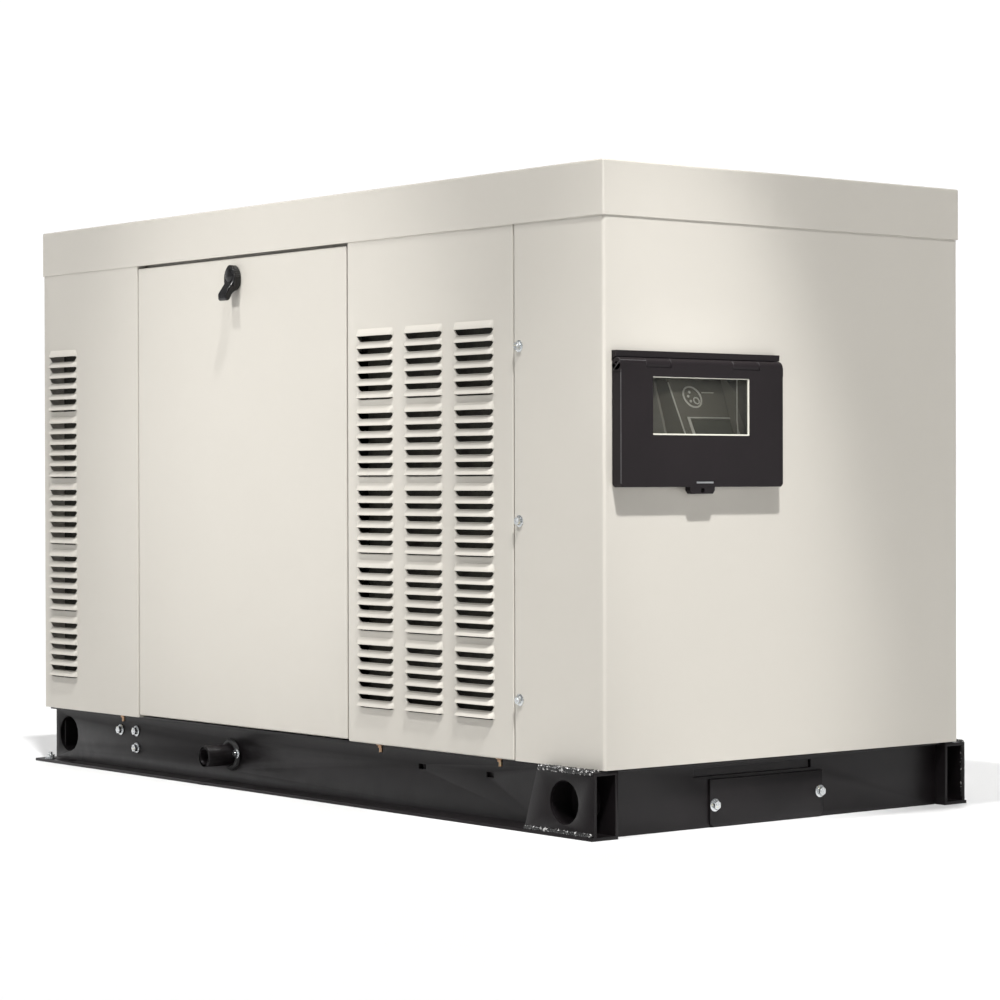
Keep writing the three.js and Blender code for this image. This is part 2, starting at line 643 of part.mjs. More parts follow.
// The header above each door opening, behind the door's top edge, where the latch catches.
function header() {
  const face = -PANEL_Y + FLANGE + FIT;
  const ends = [SEAM_RADIATOR - FLANGE, SEAM_DOOR + FLANGE];
  return join(
    block(ends, [face, face + SHEET], [SKIRT_BOTTOM - HEADER_DROP, PANEL_TOP]),
    block(ends, [face, face + FLANGE], [PANEL_TOP - SHEET, PANEL_TOP]),
  );
}
piece(front, "front_header", header(), bisque);
piece(rear, "rear_header", header(), bisque);

// A lever latch about the origin: hub and lever outside, shaft through the door, cam inside. The
// cam lies level with the lever hanging down, and turns up behind the header.
function latch() {
  const lever = [
    [-LATCH.hubProud, 0],
    [-LEVER.reach, -LEVER.drop],
    [-LEVER.reach, -LEVER.drop - LEVER.thick],
    [-FIT, -LEVER.thick],
    [-FIT, 0],
  ];
  return join(
    rod("y", LATCH.hub, -LATCH.hubProud, -FIT, [0, 0]),
    prism("x", lever, -LEVER.width / 2, LEVER.width / 2),
    rod("y", LATCH.shaft, -PAST, CAM.behind + CAM.thick, [0, 0], 16),
    block([0, CAM.reach], [CAM.behind, CAM.behind + CAM.thick], [-CAM.half, CAM.half]),
  );
}
for (const [side, name] of [[front, "front_latch"], [rear, "rear_latch"]]) {
  piece(side, name, latch(), blackPlastic).position.set(LATCH_X, -PANEL_Y, LATCH_Z);
}

// ---------------------------------------------------------------- control opening

const control = group();

// The lid: a tray hung from a round top edge, with a window and gaps for the two fixed lugs.
function lid() {
  const hollowTop = HINGE_Z - LID.depth / 2 - LID.wall;
  const body = join(
    block([LID_BACK, LID_FRONT], [LID.y0, LID.y1], [LID.z0, HINGE_Z]),
    rod("y", LID.depth / 2, LID.y0, LID.y1, [HINGE_X, HINGE_Z], 20),
  );
  const tools = [
    block(
      [LID_BACK - PAST, LID_FRONT - LID.wall],
      [LID.y0 + LID.wall, LID.y1 - LID.wall],
      [LID.z0 + LID.wall, hollowTop],
    ),
    block([LID_BACK, LID_FRONT + PAST], [WINDOW.y0, WINDOW.y1], [WINDOW.z0, WINDOW.z1]),
    rod("y", HINGE.hole, LID.y0 - PAST, LID.y1 + PAST, [HINGE_X, HINGE_Z], 12),
  ];
  for (const [y0, y1] of KNUCKLES) {
    const gap = [y0 - HINGE.lugGap, y1 + HINGE.lugGap];
    tools.push(block([LID_BACK - PAST, LID_FRONT + PAST], gap, [hollowTop, LID.z1 + PAST]));
  }
  return cut(body, ...tools);
}
piece(control, "control_cover", lid(), blackPlastic);

const windowFace = LID_FRONT - LID.wall - FIT;
piece(
  control,
  "cover_window",
  block(
    [windowFace - WINDOW.thick, windowFace],
    [WINDOW.y0 - WINDOW.lap, WINDOW.y1 + WINDOW.lap],
    [WINDOW.z0 - WINDOW.lap, HINGE_Z - LID.depth / 2 - LID.wall - FIT],
  ),
  clearPlastic,
);

const pinRun = [LID.y0 + LID.wall, LID.y1 - LID.wall];
piece(control, "cover_hinge_pin", rod("y", HINGE.pin, ...pinRun, [HINGE_X, HINGE_Z], 12), steel);

// The hasp under the lid, with a padlock hole.
function coverTab() {
  const { y0, y1, z, thick, hole } = LID_TAB;
  const top = LID.z0 - FIT;
  return cut(
    block([LID_FRONT - thick, LID_FRONT], [y0, y1], [z, top]),
    rod("x", hole, LID_FRONT - thick - PAST, LID_FRONT + PAST, [(y0 + y1) / 2, (z + top) / 2], 12),
  );
}
piece(control, "cover_hasp", coverTab(), blackPlastic);

// The control box: a shell open to the end face, with a rim behind the end sheet and two lugs
// that reach out through the opening to carry the lid's pin.
function controlBox() {
  const rimFace = PANEL_X - SHEET - FIT;
  const outer = [
    [RECESS.y0 - BOX_WALL, RECESS.y1 + BOX_WALL],
    [RECESS.z0 - BOX_WALL, RECESS.z1 + BOX_WALL],
  ];
  const rim = [
    [RECESS.y0 - BOX_RIM, RECESS.y1 + BOX_RIM],
    [RECESS.z0 - BOX_RIM, RECESS.z1 + BOX_RIM + BOX_WALL],
  ];
  const shell = cut(
    join(
      block([BOX_BACK - BOX_WALL, rimFace], ...outer),
      block([rimFace - BOX_WALL, rimFace], ...rim),
    ),
    block([BOX_BACK, rimFace + PAST], [RECESS.y0, RECESS.y1], [RECESS.z0, RECESS.z1]),
  );
  const lugs = KNUCKLES.map(([y0, y1]) =>
    join(
      rod("y", HINGE.lug, y0, y1, [HINGE_X, HINGE_Z], 16),
      block([rimFace - BOX_WALL, HINGE_X], [y0, y1], [RECESS.z1 - HINGE.neck / 3, RECESS.z1 + BOX_WALL]),
    ),
  );
  return cut(
    join(shell, ...lugs),
    rod("y", HINGE.hole, LID.y0, LID.y1, [HINGE_X, HINGE_Z], 12),
  );
}
piece(control, "control_box", controlBox(), greyPlastic);

// The console's slope is its own group: X is out of the slope, Z up along it, from its lower edge.
const slope = group(control);
slope.position.set(CONSOLE_FOOT, 0, CONSOLE.footTop);
slope.rotation.y = -CONSOLE_TILT;

const buttonSpots = Object.values(MODE_BUTTON_PLACES);
const socketDepth = MODE_BUTTON.length - MODE_BUTTON.proud + MODE_BUTTON.travel + PAST;
function consoleBody() {
  const { y0, y1, footTop } = CONSOLE;
  const outline = [
    [BOX_BACK + FIT, RECESS.z0 + FIT],
    [CONSOLE_FOOT, RECESS.z0 + FIT],
    [CONSOLE_FOOT, footTop],
    [CONSOLE_HEAD, RECESS.z1 - FIT],
    [BOX_BACK + FIT, RECESS.z1 - FIT],
  ];
  const onSlope = (geometry) => geometry.rotateY(-CONSOLE_TILT).translate(CONSOLE_FOOT, 0, footTop);
  const halfScreen = DISPLAY.width / 2 + FIT;
  const tools = buttonSpots.map((y) =>
    onSlope(rod("x", MODE_BUTTON.radius + MODE_BUTTON.clearance, -socketDepth, PAST, [y, MODE_BUTTON.s])),
  );
  const screenPocket = block(
    [-DISPLAY.thick - FIT, PAST],
    [DISPLAY.y - halfScreen, DISPLAY.y + halfScreen],
    [DISPLAY.s0 - FIT, DISPLAY.s1 + FIT],
  );
  return cut(prism("y", outline, y0, y1), ...tools, onSlope(screenPocket));
}
piece(control, "control_console", consoleBody(), greyPlastic);

piece(
  slope,
  "display_screen",
  block(
    [-DISPLAY.thick, 0],
    [DISPLAY.y - DISPLAY.width / 2, DISPLAY.y + DISPLAY.width / 2],
    [DISPLAY.s0, DISPLAY.s1],
  ),
  screenGlass,
);
for (const [name, y] of Object.entries(MODE_BUTTON_PLACES)) {
  const button = rod(
    "x",
    MODE_BUTTON.radius,
    MODE_BUTTON.proud - MODE_BUTTON.length,
    MODE_BUTTON.proud,
    [y, MODE_BUTTON.s],
  );
  piece(slope, name, button, buttonPlastics[name]);
}

// The breaker, with a slot in its face for the toggle, which turns about Y in it.
function breaker() {
  const { y0, y1, z0, z1 } = BREAKER;
  const face = BREAKER_FACE;
  const wide = TOGGLE.width / 2 + TOGGLE.side;
  const depth = TOGGLE.arm + TOGGLE.pivot;
  return cut(
    block([BOX_BACK + FIT, face], [y0, y1], [z0, z1]),
    block(
      [face - depth, face + PAST],
      [TOGGLE.y - wide, TOGGLE.y + wide],
      [TOGGLE.z - TOGGLE.slot / 2, TOGGLE.z + TOGGLE.slot / 2],
    ),
  );
}
piece(control, "circuit_breaker", breaker(), blackPlastic);

// The toggle about its own pivot, standing out of the breaker's face.
function toggle() {
  const half = TOGGLE.width / 2;
  return join(
    rod("y", TOGGLE.pivot, -half, half, [0, 0], 16),
    block([0, TOGGLE.arm], [-half, half], [-TOGGLE.thick / 2, TOGGLE.thick / 2]),
  );
}
const togglePivotX = BREAKER_FACE - TOGGLE.pivot - TOGGLE.thick;
piece(control, "breaker_toggle", toggle(), blackPlastic).position.set(togglePivotX, TOGGLE.y, TOGGLE.z);

// ---------------------------------------------------------------- engine

const engine = group();
engine.position.z = CRANK_Z;
const bellX0 = BLOCK.x1 + FIT;

// The block with its crank tunnel, engine feet and the blind hole for the water pump's shaft.
function engineBlock() {
  const foot = FEET_Z - CRANK_Z;
  const footHalf = MOUNT_RADIUS + FOOT_MARGIN;
  const feet = [-1, 1].map((side) => {
    const root = side * (BLOCK.half - FOOT_MARGIN);
    const reach = [root, side * (ENGINE_MOUNT.y + footHalf)].sort((a, b) => a - b);
    return join(
      block([BLOCK.x0, BLOCK.x0 + footHalf], reach, [foot, -BLOCK.below + FOOT_THICK * 2]),
      block([BLOCK.x0 + footHalf / 2, ENGINE_MOUNT.x + footHalf], reach, [foot, foot + FOOT_THICK]),
    );
  });
  return cut(
    join(
      block([BLOCK.x0, BLOCK.x1], [-BLOCK.half, BLOCK.half], [-BLOCK.below, BLOCK.above]),
      ...feet,
    ),
    rod("x", CRANK_BORE, BLOCK.x0 - PAST, BLOCK.x1 + PAST, [0, 0]),
    rod("x", FAN.shaft + PAST, BLOCK.x0 - PAST, BLOCK.x0 + PUMP_BORE.depth, [0, FAN_LIFT], 16),
  );
}
piece(engine, "engine_block", engineBlock(), castIron);

// The crankshaft, with its pulley ahead of the block and the flywheel behind it.
function crankshaft() {
  return turned([
    [CRANK_PULLEY.x0, 0],
    [CRANK_PULLEY.x0, CRANK_PULLEY.radius],
    [BELT.x0 - FIT, CRANK_PULLEY.radius],
    [BELT.x0 - FIT, CRANK_PULLEY.radius - BELT.thick],
    [BELT.x1 + FIT, CRANK_PULLEY.radius - BELT.thick],
    [BELT.x1 + FIT, CRANK_PULLEY.radius],
    [CRANK_PULLEY.x1, CRANK_PULLEY.radius],
    [CRANK_PULLEY.x1, CRANK_SHAFT],
    [FLYWHEEL.x0, CRANK_SHAFT],
    [FLYWHEEL.x0, FLYWHEEL.radius],
    [FLYWHEEL.x1, FLYWHEEL.radius],
    [FLYWHEEL.x1, 0],
  ]);
}
piece(engine, "crankshaft", crankshaft(), steel);

const panX = [BLOCK.x0 + PAN.frontInset, BLOCK.x1 - PAN.rearInset];
piece(
  engine,
  "oil_pan",
  block(panX, [-PAN.half, PAN.half], [PAN.bottom, -BLOCK.below - FIT]),
  blackPaint,
);

// The head, with a coolant neck standing up beside the valve cover.
function cylinderHead() {
  const bottom = BLOCK.above + FIT;
  const top = bottom + HEAD_HEIGHT;
  return join(
    block([BLOCK.x0, BLOCK.x1], [-BLOCK.half, BLOCK.half], [bottom, top]),
    rod("z", NECK.radius, top - PAST, top + NECK.length, [HEAD_NECK_X, UPPER_HOSE_Y], 16),
  );
}
piece(engine, "cylinder_head", cylinderHead(), aluminium);

function valveCover() {
  const { height, half, inset, round } = VALVE_COVER;
  const bottom = HEAD_TOP - CRANK_Z + FIT;
  const outline = [
    [-half, bottom],
    [half, bottom],
    [half, bottom + height - round],
    [half - round, bottom + height],
    [-half + round, bottom + height],
    [-half, bottom + height - round],
  ];
  return prism("x", outline, BLOCK.x0 + inset, BLOCK.x1 - inset);
}
piece(engine, "valve_cover", valveCover(), blackPaint);

// The bell housing around the flywheel, open towards the alternator.
function flywheelHousing() {
  const { outer, inner, wall, x1 } = BELL;
  return turned([
    [bellX0, CRANK_BORE],
    [bellX0, outer],
    [x1, outer],
    [x1, inner],
    [bellX0 + wall, inner],
    [bellX0 + wall, CRANK_BORE],
    [bellX0, CRANK_BORE],
  ]);
}
piece(engine, "flywheel_housing", flywheelHousing(), aluminium);

// The starter lies along the block in front of the housing, with its solenoid on top.
function starter() {
  const end = bellX0 - FIT;
  return join(
    rod("x", STARTER.radius, STARTER.x0, end, [STARTER.y, STARTER.z]),
    rod(
      "x",
      SOLENOID.radius,
      STARTER.x0 + SOLENOID.inset,
      end - SOLENOID.inset,
      [STARTER.y, STARTER.z + SOLENOID.lift],
      16,
    ),
  );
}
piece(engine, "starter_motor", starter(), blackPaint);

piece(
  engine,
  "oil_filter",
  rod(
    "y",
    OIL_FILTER.radius,
    -BLOCK.half - FIT - OIL_FILTER.length,
    -BLOCK.half - FIT,
    [OIL_FILTER.x, OIL_FILTER.z],
  ),
  blackPlastic,
);

// Intake manifold: a plenum with a flat face on the head and a riser up to the air cleaner.
function intakeManifold() {
  const { y0, y1, z0, z1, riserX, riserRadius } = INTAKE;
  return join(
    block([PORT.x0, PORT.x1], [y0 + FIT, y1], [z0, z1]),
    rod(
      "z",
      riserRadius,
      z1 - PAST,
      AIR_CLEANER.z0 - FIT,
      [riserX, (y0 + y1) / 2],
    ),
  );
}
piece(engine, "intake_manifold", intakeManifold(), aluminium);
piece(
  engine,
  "air_cleaner",
  block(
    [AIR_CLEANER.x0, AIR_CLEANER.x1],
    [AIR_CLEANER.y0, AIR_CLEANER.y1],
    [AIR_CLEANER.z0, AIR_CLEANER.z1],
  ),
  blackPlastic,
);

// Exhaust manifold: a log along the front of the head, and a pipe back to the muffler's end face.
function exhaustManifold() {
  const { z } = EXHAUST;
  const mufflerZ = MUFFLER_Z - CRANK_Z;
  const ports = [];
  for (let i = 0; i < PORT.count; i += 1) {
    const x = PORT.x0 + ((PORT.x1 - PORT.x0) * (i + 1 / 2)) / PORT.count;
    ports.push(rod("y", PORT.radius, -EXHAUST.y, -BLOCK.half - FIT, [x, z], 12));
  }
  return join(
    rod("x", EXHAUST.radius, PORT.x0, PORT.x1, [-EXHAUST.y, z], 16),
    ...ports,
    tube(
      [
        [PORT.x1 - PORT.radius, -EXHAUST.y, z],
        [BLOCK.x1 + EXHAUST.run, -EXHAUST.y, z],
        [MUFFLER.x0 - EXHAUST.run, -EXHAUST.inletY, mufflerZ],
        [MUFFLER.x0 - FIT, -EXHAUST.inletY, mufflerZ],
      ],
      EXHAUST.pipe,
      EXHAUST.run / 2,
    ),
  );
}
piece(engine, "exhaust_manifold", exhaustManifold(), castIron);

// A closed outline round several pulleys: the hull of their circles, grown by a thickness.
function beltOutline(circles, grow) {
  const steps = 40;
  const outline = [];
  for (let i = 0; i < steps; i += 1) {
    const angle = (2 * Math.PI * i) / steps;
    const [u, v] = [Math.cos(angle), Math.sin(angle)];
    const far = ({ y, z, radius }) => y * u + z * v + radius;
    const widest = circles.reduce((best, circle) => (far(circle) > far(best) ? circle : best));
    outline.push([widest.y + (widest.radius + grow) * u, widest.z + (widest.radius + grow) * v]);
  }
  return outline;
}
const beltCircles = [
  { y: 0, z: 0, radius: CRANK_PULLEY.radius - BELT.thick },
  { y: 0, z: FAN_LIFT, radius: FAN_PULLEY_RADIUS - BELT.thick },
  { y: CHARGER.y, z: CHARGER.z, radius: CHARGE_PULLEY_RADIUS - BELT.thick },
];
piece(
  engine,
  "fan_belt",
  cut(
    prism("x", beltOutline(beltCircles, BELT.thick), BELT.x0, BELT.x1),
    prism("x", beltOutline(beltCircles, BELT.slack), BELT.x0 - PAST, BELT.x1 + PAST),
  ),
  rubber,
);

// A grooved pulley profile along X, for the belt's plane.
function pulleyProfile(radius) {
  return [
    [CRANK_PULLEY.x0, radius],
    [BELT.x0 - FIT, radius],
    [BELT.x0 - FIT, radius - BELT.thick],
    [BELT.x1 + FIT, radius - BELT.thick],
    [BELT.x1 + FIT, radius],
    [CRANK_PULLEY.x1, radius],
  ];
}

// The fan, its hub and pulley, and the water pump's shaft, about the fan's own axis.
function coolingFan() {
  const hub = turned([
    [FAN.x0, 0],
    [FAN.x0, FAN.hub],
    [FAN.x1, FAN.hub],
    [FAN.x1, FAN_NECK],
    [CRANK_PULLEY.x0, FAN_NECK],
    ...pulleyProfile(FAN_PULLEY_RADIUS),
    [CRANK_PULLEY.x1, FAN.shaft],
    [BLOCK.x0 + PUMP_BORE.shaft, FAN.shaft],
    [BLOCK.x0 + PUMP_BORE.shaft, 0],
  ]);
  const blades = [];
  for (let i = 0; i < BLADE.count; i += 1) {
    const blade = new THREE.BoxGeometry(BLADE.thick, BLADE.chord, FAN.radius - BLADE.root);
    blade.rotateZ(THREE.MathUtils.degToRad(90 - BLADE.pitch));
    blade.translate((FAN.x0 + FAN.x1) / 2, 0, (FAN.radius + BLADE.root) / 2);
    blade.rotateX((2 * Math.PI * i) / BLADE.count);
    blades.push(blade);
  }
  return join(hub, ...blades);
}
piece(engine, "cooling_fan", coolingFan(), blackPlastic).position.z = FAN_LIFT;

// The battery-charging alternator, with a blind bore for its pulley's shaft.
const charger = group(engine);
charger.position.set(0, CHARGER.y, CHARGER.z);
function chargeAlternator() {
  const arm = block(
    [CHARGER.x0 + CHARGER.armInset, CHARGER.x1 - CHARGER.armInset],
    [BLOCK.half + FIT - CHARGER.y, 0],
    [-CHARGER.armHalf, CHARGER.armHalf],
  );
  return cut(
    join(rod("x", CHARGER.radius, CHARGER.x0, CHARGER.x1, [0, 0]), arm),
    rod("x", CHARGER.shaft + PAST, CHARGER.x0 - PAST, CHARGER.x0 + PUMP_BORE.depth, [0, 0], 16),
  );
}
piece(charger, "charge_alternator", chargeAlternator(), aluminium);
const chargePulley = turned([
  [CRANK_PULLEY.x0, 0],
  ...pulleyProfile(CHARGE_PULLEY_RADIUS),
  [CRANK_PULLEY.x1, CHARGER.shaft],
  [CHARGER.x0 + PUMP_BORE.shaft, CHARGER.shaft],
  [CHARGER.x0 + PUMP_BORE.shaft, 0],
]);
piece(charger, "charge_pulley", chargePulley, steel);

// ---------------------------------------------------------------- alternator

const statorX0 = BELL.x1 + FIT;

// The stator frame: a barrel with an end wall that holds the rear bearing, and two feet.
function stator() {
  const { x1, outer, inner, endWall, sides } = STATOR;
  const barrel = turned(
    [
      [statorX0, inner],
      [statorX0, outer],
      [x1, outer],
      [x1, ROTOR.shaft + PAST],
      [x1 - endWall, ROTOR.shaft + PAST],
      [x1 - endWall, inner],
      [statorX0, inner],
    ],
    sides,
  );
  const foot = FEET_Z - CRANK_Z;
  const half = MOUNT_RADIUS + PLATE;
  const feet = [-1, 1].map((side) => {
    const reach = [side * (ALTERNATOR_MOUNT.y - half * 2), side * (ALTERNATOR_MOUNT.y + half)];
    reach.sort((a, b) => a - b);
    return block(
      [ALTERNATOR_MOUNT.x - half, ALTERNATOR_MOUNT.x + half],
      reach,
      [foot, -inner - (outer - inner) / 4],
    );
  });
  return join(barrel, ...feet);
}
piece(engine, "alternator_stator", stator(), steel);

// The rotor, driven by a disc against the flywheel, on a shaft that ends in the rear bearing.
function rotor() {
  const { radius, x0, x1, shaft, disc, discX1, end } = ROTOR;
  return turned([
    [FLYWHEEL.x1 + FIT, 0],
    [FLYWHEEL.x1 + FIT, disc],
    [discX1, disc],
    [discX1, shaft],
    [x0, shaft],
    [x0, radius],
    [x1, radius],
    [x1, shaft],
    [end, shaft],
    [end, 0],
  ]);
}
piece(engine, "alternator_rotor", rotor(), steel);

// Rubber mounts, waisted, between the crossmembers and the feet.
function rubberMount() {
  const points = [
    [0, 0],
    [MOUNT_RADIUS, 0],
    [MOUNT_RADIUS, MOUNT_CAP],
    [MOUNT_WAIST, MOUNT_HEIGHT / 2],
    [MOUNT_RADIUS, MOUNT_HEIGHT - MOUNT_CAP],
    [MOUNT_RADIUS, MOUNT_HEIGHT],
    [0, MOUNT_HEIGHT],
  ].map(([radius, z]) => new THREE.Vector2(radius, z));
  const base = new THREE.LatheGeometry(points, 12).rotateX(Math.PI / 2);
  return toGeometry(toSolid(base));
}
const mountPlaces = { engine_mount: ENGINE_MOUNT, alternator_mount: ALTERNATOR_MOUNT };
for (const [set, place] of Object.entries(mountPlaces)) {
  for (const [end, side] of [["front", -1], ["rear", 1]]) {
    piece(unit, `${set}_${end}`, rubberMount(), rubber).position.set(
      place.x,
      side * place.y,
      BASE_HEIGHT + FIT,
    );
  }
}

// ---------------------------------------------------------------- exhaust

// The muffler over the alternator, standing on a saddle, with a tail pipe to the radiator end.
function muffler() {
  const { x0, x1, radius, sides, pipe, legHalf } = MUFFLER;
  const z = MUFFLER_Z;
  const tailZ = HEIGHT - TAIL.underRoof;
  const statorTop = CRANK_Z + STATOR.outer + FIT;
  const saddle = block(
    [(x0 + x1) / 2 - legHalf, (x0 + x1) / 2 + legHalf],
    [-legHalf, legHalf],
    [statorTop, z - radius / 2],
  );
  const tail = tube(
    [
      [x0 + pipe, TAIL.y, z + TAIL.rise],
      [x0 - TAIL.run, TAIL.y, z + TAIL.rise],
      [BLOCK.x1 - TAIL.run, TAIL.y, tailZ],
      [-WEB_X + CHANNEL_FLANGE, TAIL.y, tailZ],
    ],
    pipe,
    TAIL.bend,
    18,
  );
  return join(rod("x", radius, x0, x1, [0, z], sides), saddle, tail);
}
piece(unit, "muffler", muffler(), steel);

// ---------------------------------------------------------------- cooling

const shroudX0 = CORE_X1 + FIT;

// The radiator: core with side channels, tanks at the top and bottom, hose necks and a foot plate
// that spans the rails.
function radiator() {
  const bottom = BASE_HEIGHT + FIT;
  const tankX = [CORE_X0 - TANK.proud, CORE_X1];
  const span = WEB_Y - CORE.footInset;
  const upperZ = CORE_TOP - TANK.height / 2;
  const lowerZ = bottom + CORE.foot + TANK.height / 2;
  return join(
    block([CORE_X0, CORE_X1], [-span, span], [bottom, bottom + CORE.foot]),
    block([CORE_X0, CORE_X1], [-CORE.half, CORE.half], [bottom, CORE_TOP]),
    block(tankX, [-CORE.half, CORE.half], [CORE_TOP - TANK.height, CORE_TOP]),
    block(tankX, [-CORE.half, CORE.half], [bottom, bottom + CORE.foot + TANK.height]),
    rod("x", NECK.radius, CORE_X1 - PAST, CORE_X1 + NECK.length, [UPPER_HOSE_Y, upperZ], 16),
    rod("x", NECK.radius, CORE_X1 - PAST, CORE_X1 + NECK.length, [LOWER_HOSE.y, lowerZ], 16),
  );
}
piece(unit, "radiator", radiator(), aluminium);

// The shroud: a plate on the core with a round hole, and a ring round the fan.
function fanShroud() {
  const { x1, ring, thick, below, above, half } = SHROUD;
  const plate = block([shroudX0, shroudX0 + thick], [-half, half], [FAN_Z - below, FAN_Z + above]);
  const duct = rod("x", ring + thick, shroudX0, x1, [0, FAN_Z], 28);
  return cut(join(plate, duct), rod("x", ring, shroudX0 - PAST, x1 + PAST, [0, FAN_Z], 28));
}
piece(unit, "fan_shroud", fanShroud(), blackPlastic);

const neckEnd = CORE_X1 + NECK.length + FIT;
const upperNeckZ = CORE_TOP - TANK.height / 2;
piece(
  unit,
  "upper_hose",
  tube(
    [
      [neckEnd, UPPER_HOSE_Y, upperNeckZ],
      [HEAD_NECK_X, UPPER_HOSE_Y, upperNeckZ],
      [HEAD_NECK_X, UPPER_HOSE_Y, HEAD_TOP + NECK.length + FIT],
    ],
    HOSE_RADIUS,
    HOSE_BEND,
  ),
  rubber,
);
const lowerNeckZ = BASE_HEIGHT + FIT + CORE.foot + TANK.height / 2;
piece(
  unit,
  "lower_hose",
  tube(
    [
      [neckEnd, LOWER_HOSE.y, lowerNeckZ],
      [neckEnd + LOWER_HOSE.run, LOWER_HOSE.y, lowerNeckZ],
      [BLOCK.x0 - LOWER_HOSE.run, LOWER_HOSE.blockY, CRANK_Z + LOWER_HOSE.blockZ],
      [BLOCK.x0 - FIT, LOWER_HOSE.blockY, CRANK_Z + LOWER_HOSE.blockZ],
    ],
    NECK.radius,
    LOWER_HOSE.run / 2,
  ),
  rubber,
);

// ---------------------------------------------------------------- battery and fuel

// The tray hangs on the front rail's web.
function batteryTray() {
  const { z, thick, margin, endMargin, hanger, lip } = TRAY;
  const x = [BATTERY_X0 - margin, BATTERY_X1 + endMargin];
  const webFace = -WEB_INNER_Y + FIT;
  return join(
    block(x, [webFace, BATTERY.y1 + margin], [z, z + thick]),
    block(x, [webFace, webFace + thick], [z, z + hanger]),
    block(x, [BATTERY.y1 + margin - thick, BATTERY.y1 + margin], [z, z + lip]),
  );
}
piece(unit, "battery_tray", batteryTray(), blackPaint);

function battery() {
  const z = TRAY.z + TRAY.thick + FIT;
  const top = z + BATTERY.height;
  const posts = [BATTERY_X0 + TERMINAL.fromEnd, BATTERY_X1 - TERMINAL.fromEnd].map((x) =>
    rod("z", TERMINAL.radius, top - PAST, top + TERMINAL.height, [x, BATTERY.y1 - TERMINAL.fromEdge], 12),
  );
  return join(block([BATTERY_X0, BATTERY_X1], [BATTERY.y0, BATTERY.y1], [z, top]), ...posts);
}
piece(unit, "battery", battery(), blackPlastic);

// The fuel inlet: an open pipe through the front rail that turns up to the regulator.
function fuelInlet() {
  const { x, z, outer, bore, riseY, top } = FUEL;
  const body = join(
    rod("y", outer, FUEL_MOUTH_Y, riseY + outer, [x, z]),
    rod("z", outer, z, top, [x, riseY]),
  );
  return cut(
    body,
    rod("y", bore, FUEL_MOUTH_Y - PAST, riseY, [x, z]),
    rod("z", bore, z, top + PAST, [x, riseY]),
  );
}
piece(unit, "fuel_inlet_pipe", fuelInlet(), blackPaint);

// The gas regulator: a round diaphragm body over the pipe's end.
function fuelRegulator() {
  const { z, radius, rimHalf, cap, y0, y1 } = REGULATOR;
  const middle = (y0 + y1) / 2;
  return join(
    rod("y", radius, middle - rimHalf, middle + rimHalf, [FUEL.x, z]),
    rod("y", cap, y0, y1, [FUEL.x, z], 16),
    rod("z", FUEL.outer, FUEL.top + FIT, z, [FUEL.x, FUEL.riseY], 16),
  );
}
piece(unit, "fuel_regulator", fuelRegulator(), zinc);

export default generator;
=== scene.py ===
"""The looks of a home standby generator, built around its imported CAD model.

Shapes are made in the unit's own millimetres: the enclosure's middle is X 0, Y 0, the ground is Z 0,
+X is the control end and -Y the front. Shape.emit turns them to the frame's metres.
"""
import math
import random

import bmesh
import bpy
from mathutils import Matrix, Vector


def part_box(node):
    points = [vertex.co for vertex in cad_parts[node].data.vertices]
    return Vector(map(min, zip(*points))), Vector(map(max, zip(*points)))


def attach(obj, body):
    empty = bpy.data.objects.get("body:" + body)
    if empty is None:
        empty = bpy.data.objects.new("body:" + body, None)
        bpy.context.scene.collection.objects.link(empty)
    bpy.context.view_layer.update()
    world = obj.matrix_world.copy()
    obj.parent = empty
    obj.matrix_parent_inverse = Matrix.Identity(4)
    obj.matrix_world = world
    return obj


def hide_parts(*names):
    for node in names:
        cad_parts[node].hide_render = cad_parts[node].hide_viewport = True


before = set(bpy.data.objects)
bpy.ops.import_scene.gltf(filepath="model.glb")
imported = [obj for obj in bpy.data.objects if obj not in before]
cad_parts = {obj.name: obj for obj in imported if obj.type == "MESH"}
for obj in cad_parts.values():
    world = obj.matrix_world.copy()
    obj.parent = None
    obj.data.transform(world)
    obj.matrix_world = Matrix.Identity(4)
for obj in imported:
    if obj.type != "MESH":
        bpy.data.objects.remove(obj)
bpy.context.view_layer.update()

MM = 0.001
ROOF_LOW, ROOF_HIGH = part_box("roof")
MIDDLE = Vector(((ROOF_LOW.x + ROOF_HIGH.x) / 2, (ROOF_LOW.y + ROOF_HIGH.y) / 2, 0))


def extent(node):
    """The lowest and highest corner of a CAD node, in the unit's own millimetres."""
    low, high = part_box(node)
    return (low - MIDDLE) / MM, (high - MIDDLE) / MM


# ---------------------------------------------------------------- sizes that the CAD doesn't hold

SHEET = 1.5
FOLD_RADIUS = 2.6
CORNER_RADIUS = 5
CORNER_STEPS = 6
FLANGE = 20
ON_EDGE = 0.01  # how near a point counts as on an edge
DOOR_EASE = 1.2  # each side of a visible door sheet, for an even seam
LOUVRE = {"half": 48, "pitch": 19.4, "per_group": 6, "groups": 5, "group_pitch": 120.8, "hood": 10.2}
LOUVRE_DEPTH = 7.9
LOUVRE_TOP = 748.1
FIRST_CROWN = 2.2
LAST_GAP = 2.6
# From the end of a louvre inwards: distance, share of the full depth, height of the opening.
LOUVRE_END = [(0, 0, 0.3), (2, 0.34, 2.6), (4.5, 0.74, 5.4), (7.5, 0.96, 7.8), (11, 1, 8.8)]
# Down the hood: share of its height, share of the full depth.
HOOD = [(0, 0), (0.12, 0.1), (0.3, 0.38), (0.62, 0.74), (0.9, 0.97), (1, 1)]
SIDE_COLUMNS = [241, 366, 491]
RADIATOR_COLUMN = -716
RADIATOR_SEAM = -463.5
DISCHARGE = {"inner": 16, "outer": 260, "z0": 190, "height": 24, "pitch": 40, "count": 14}
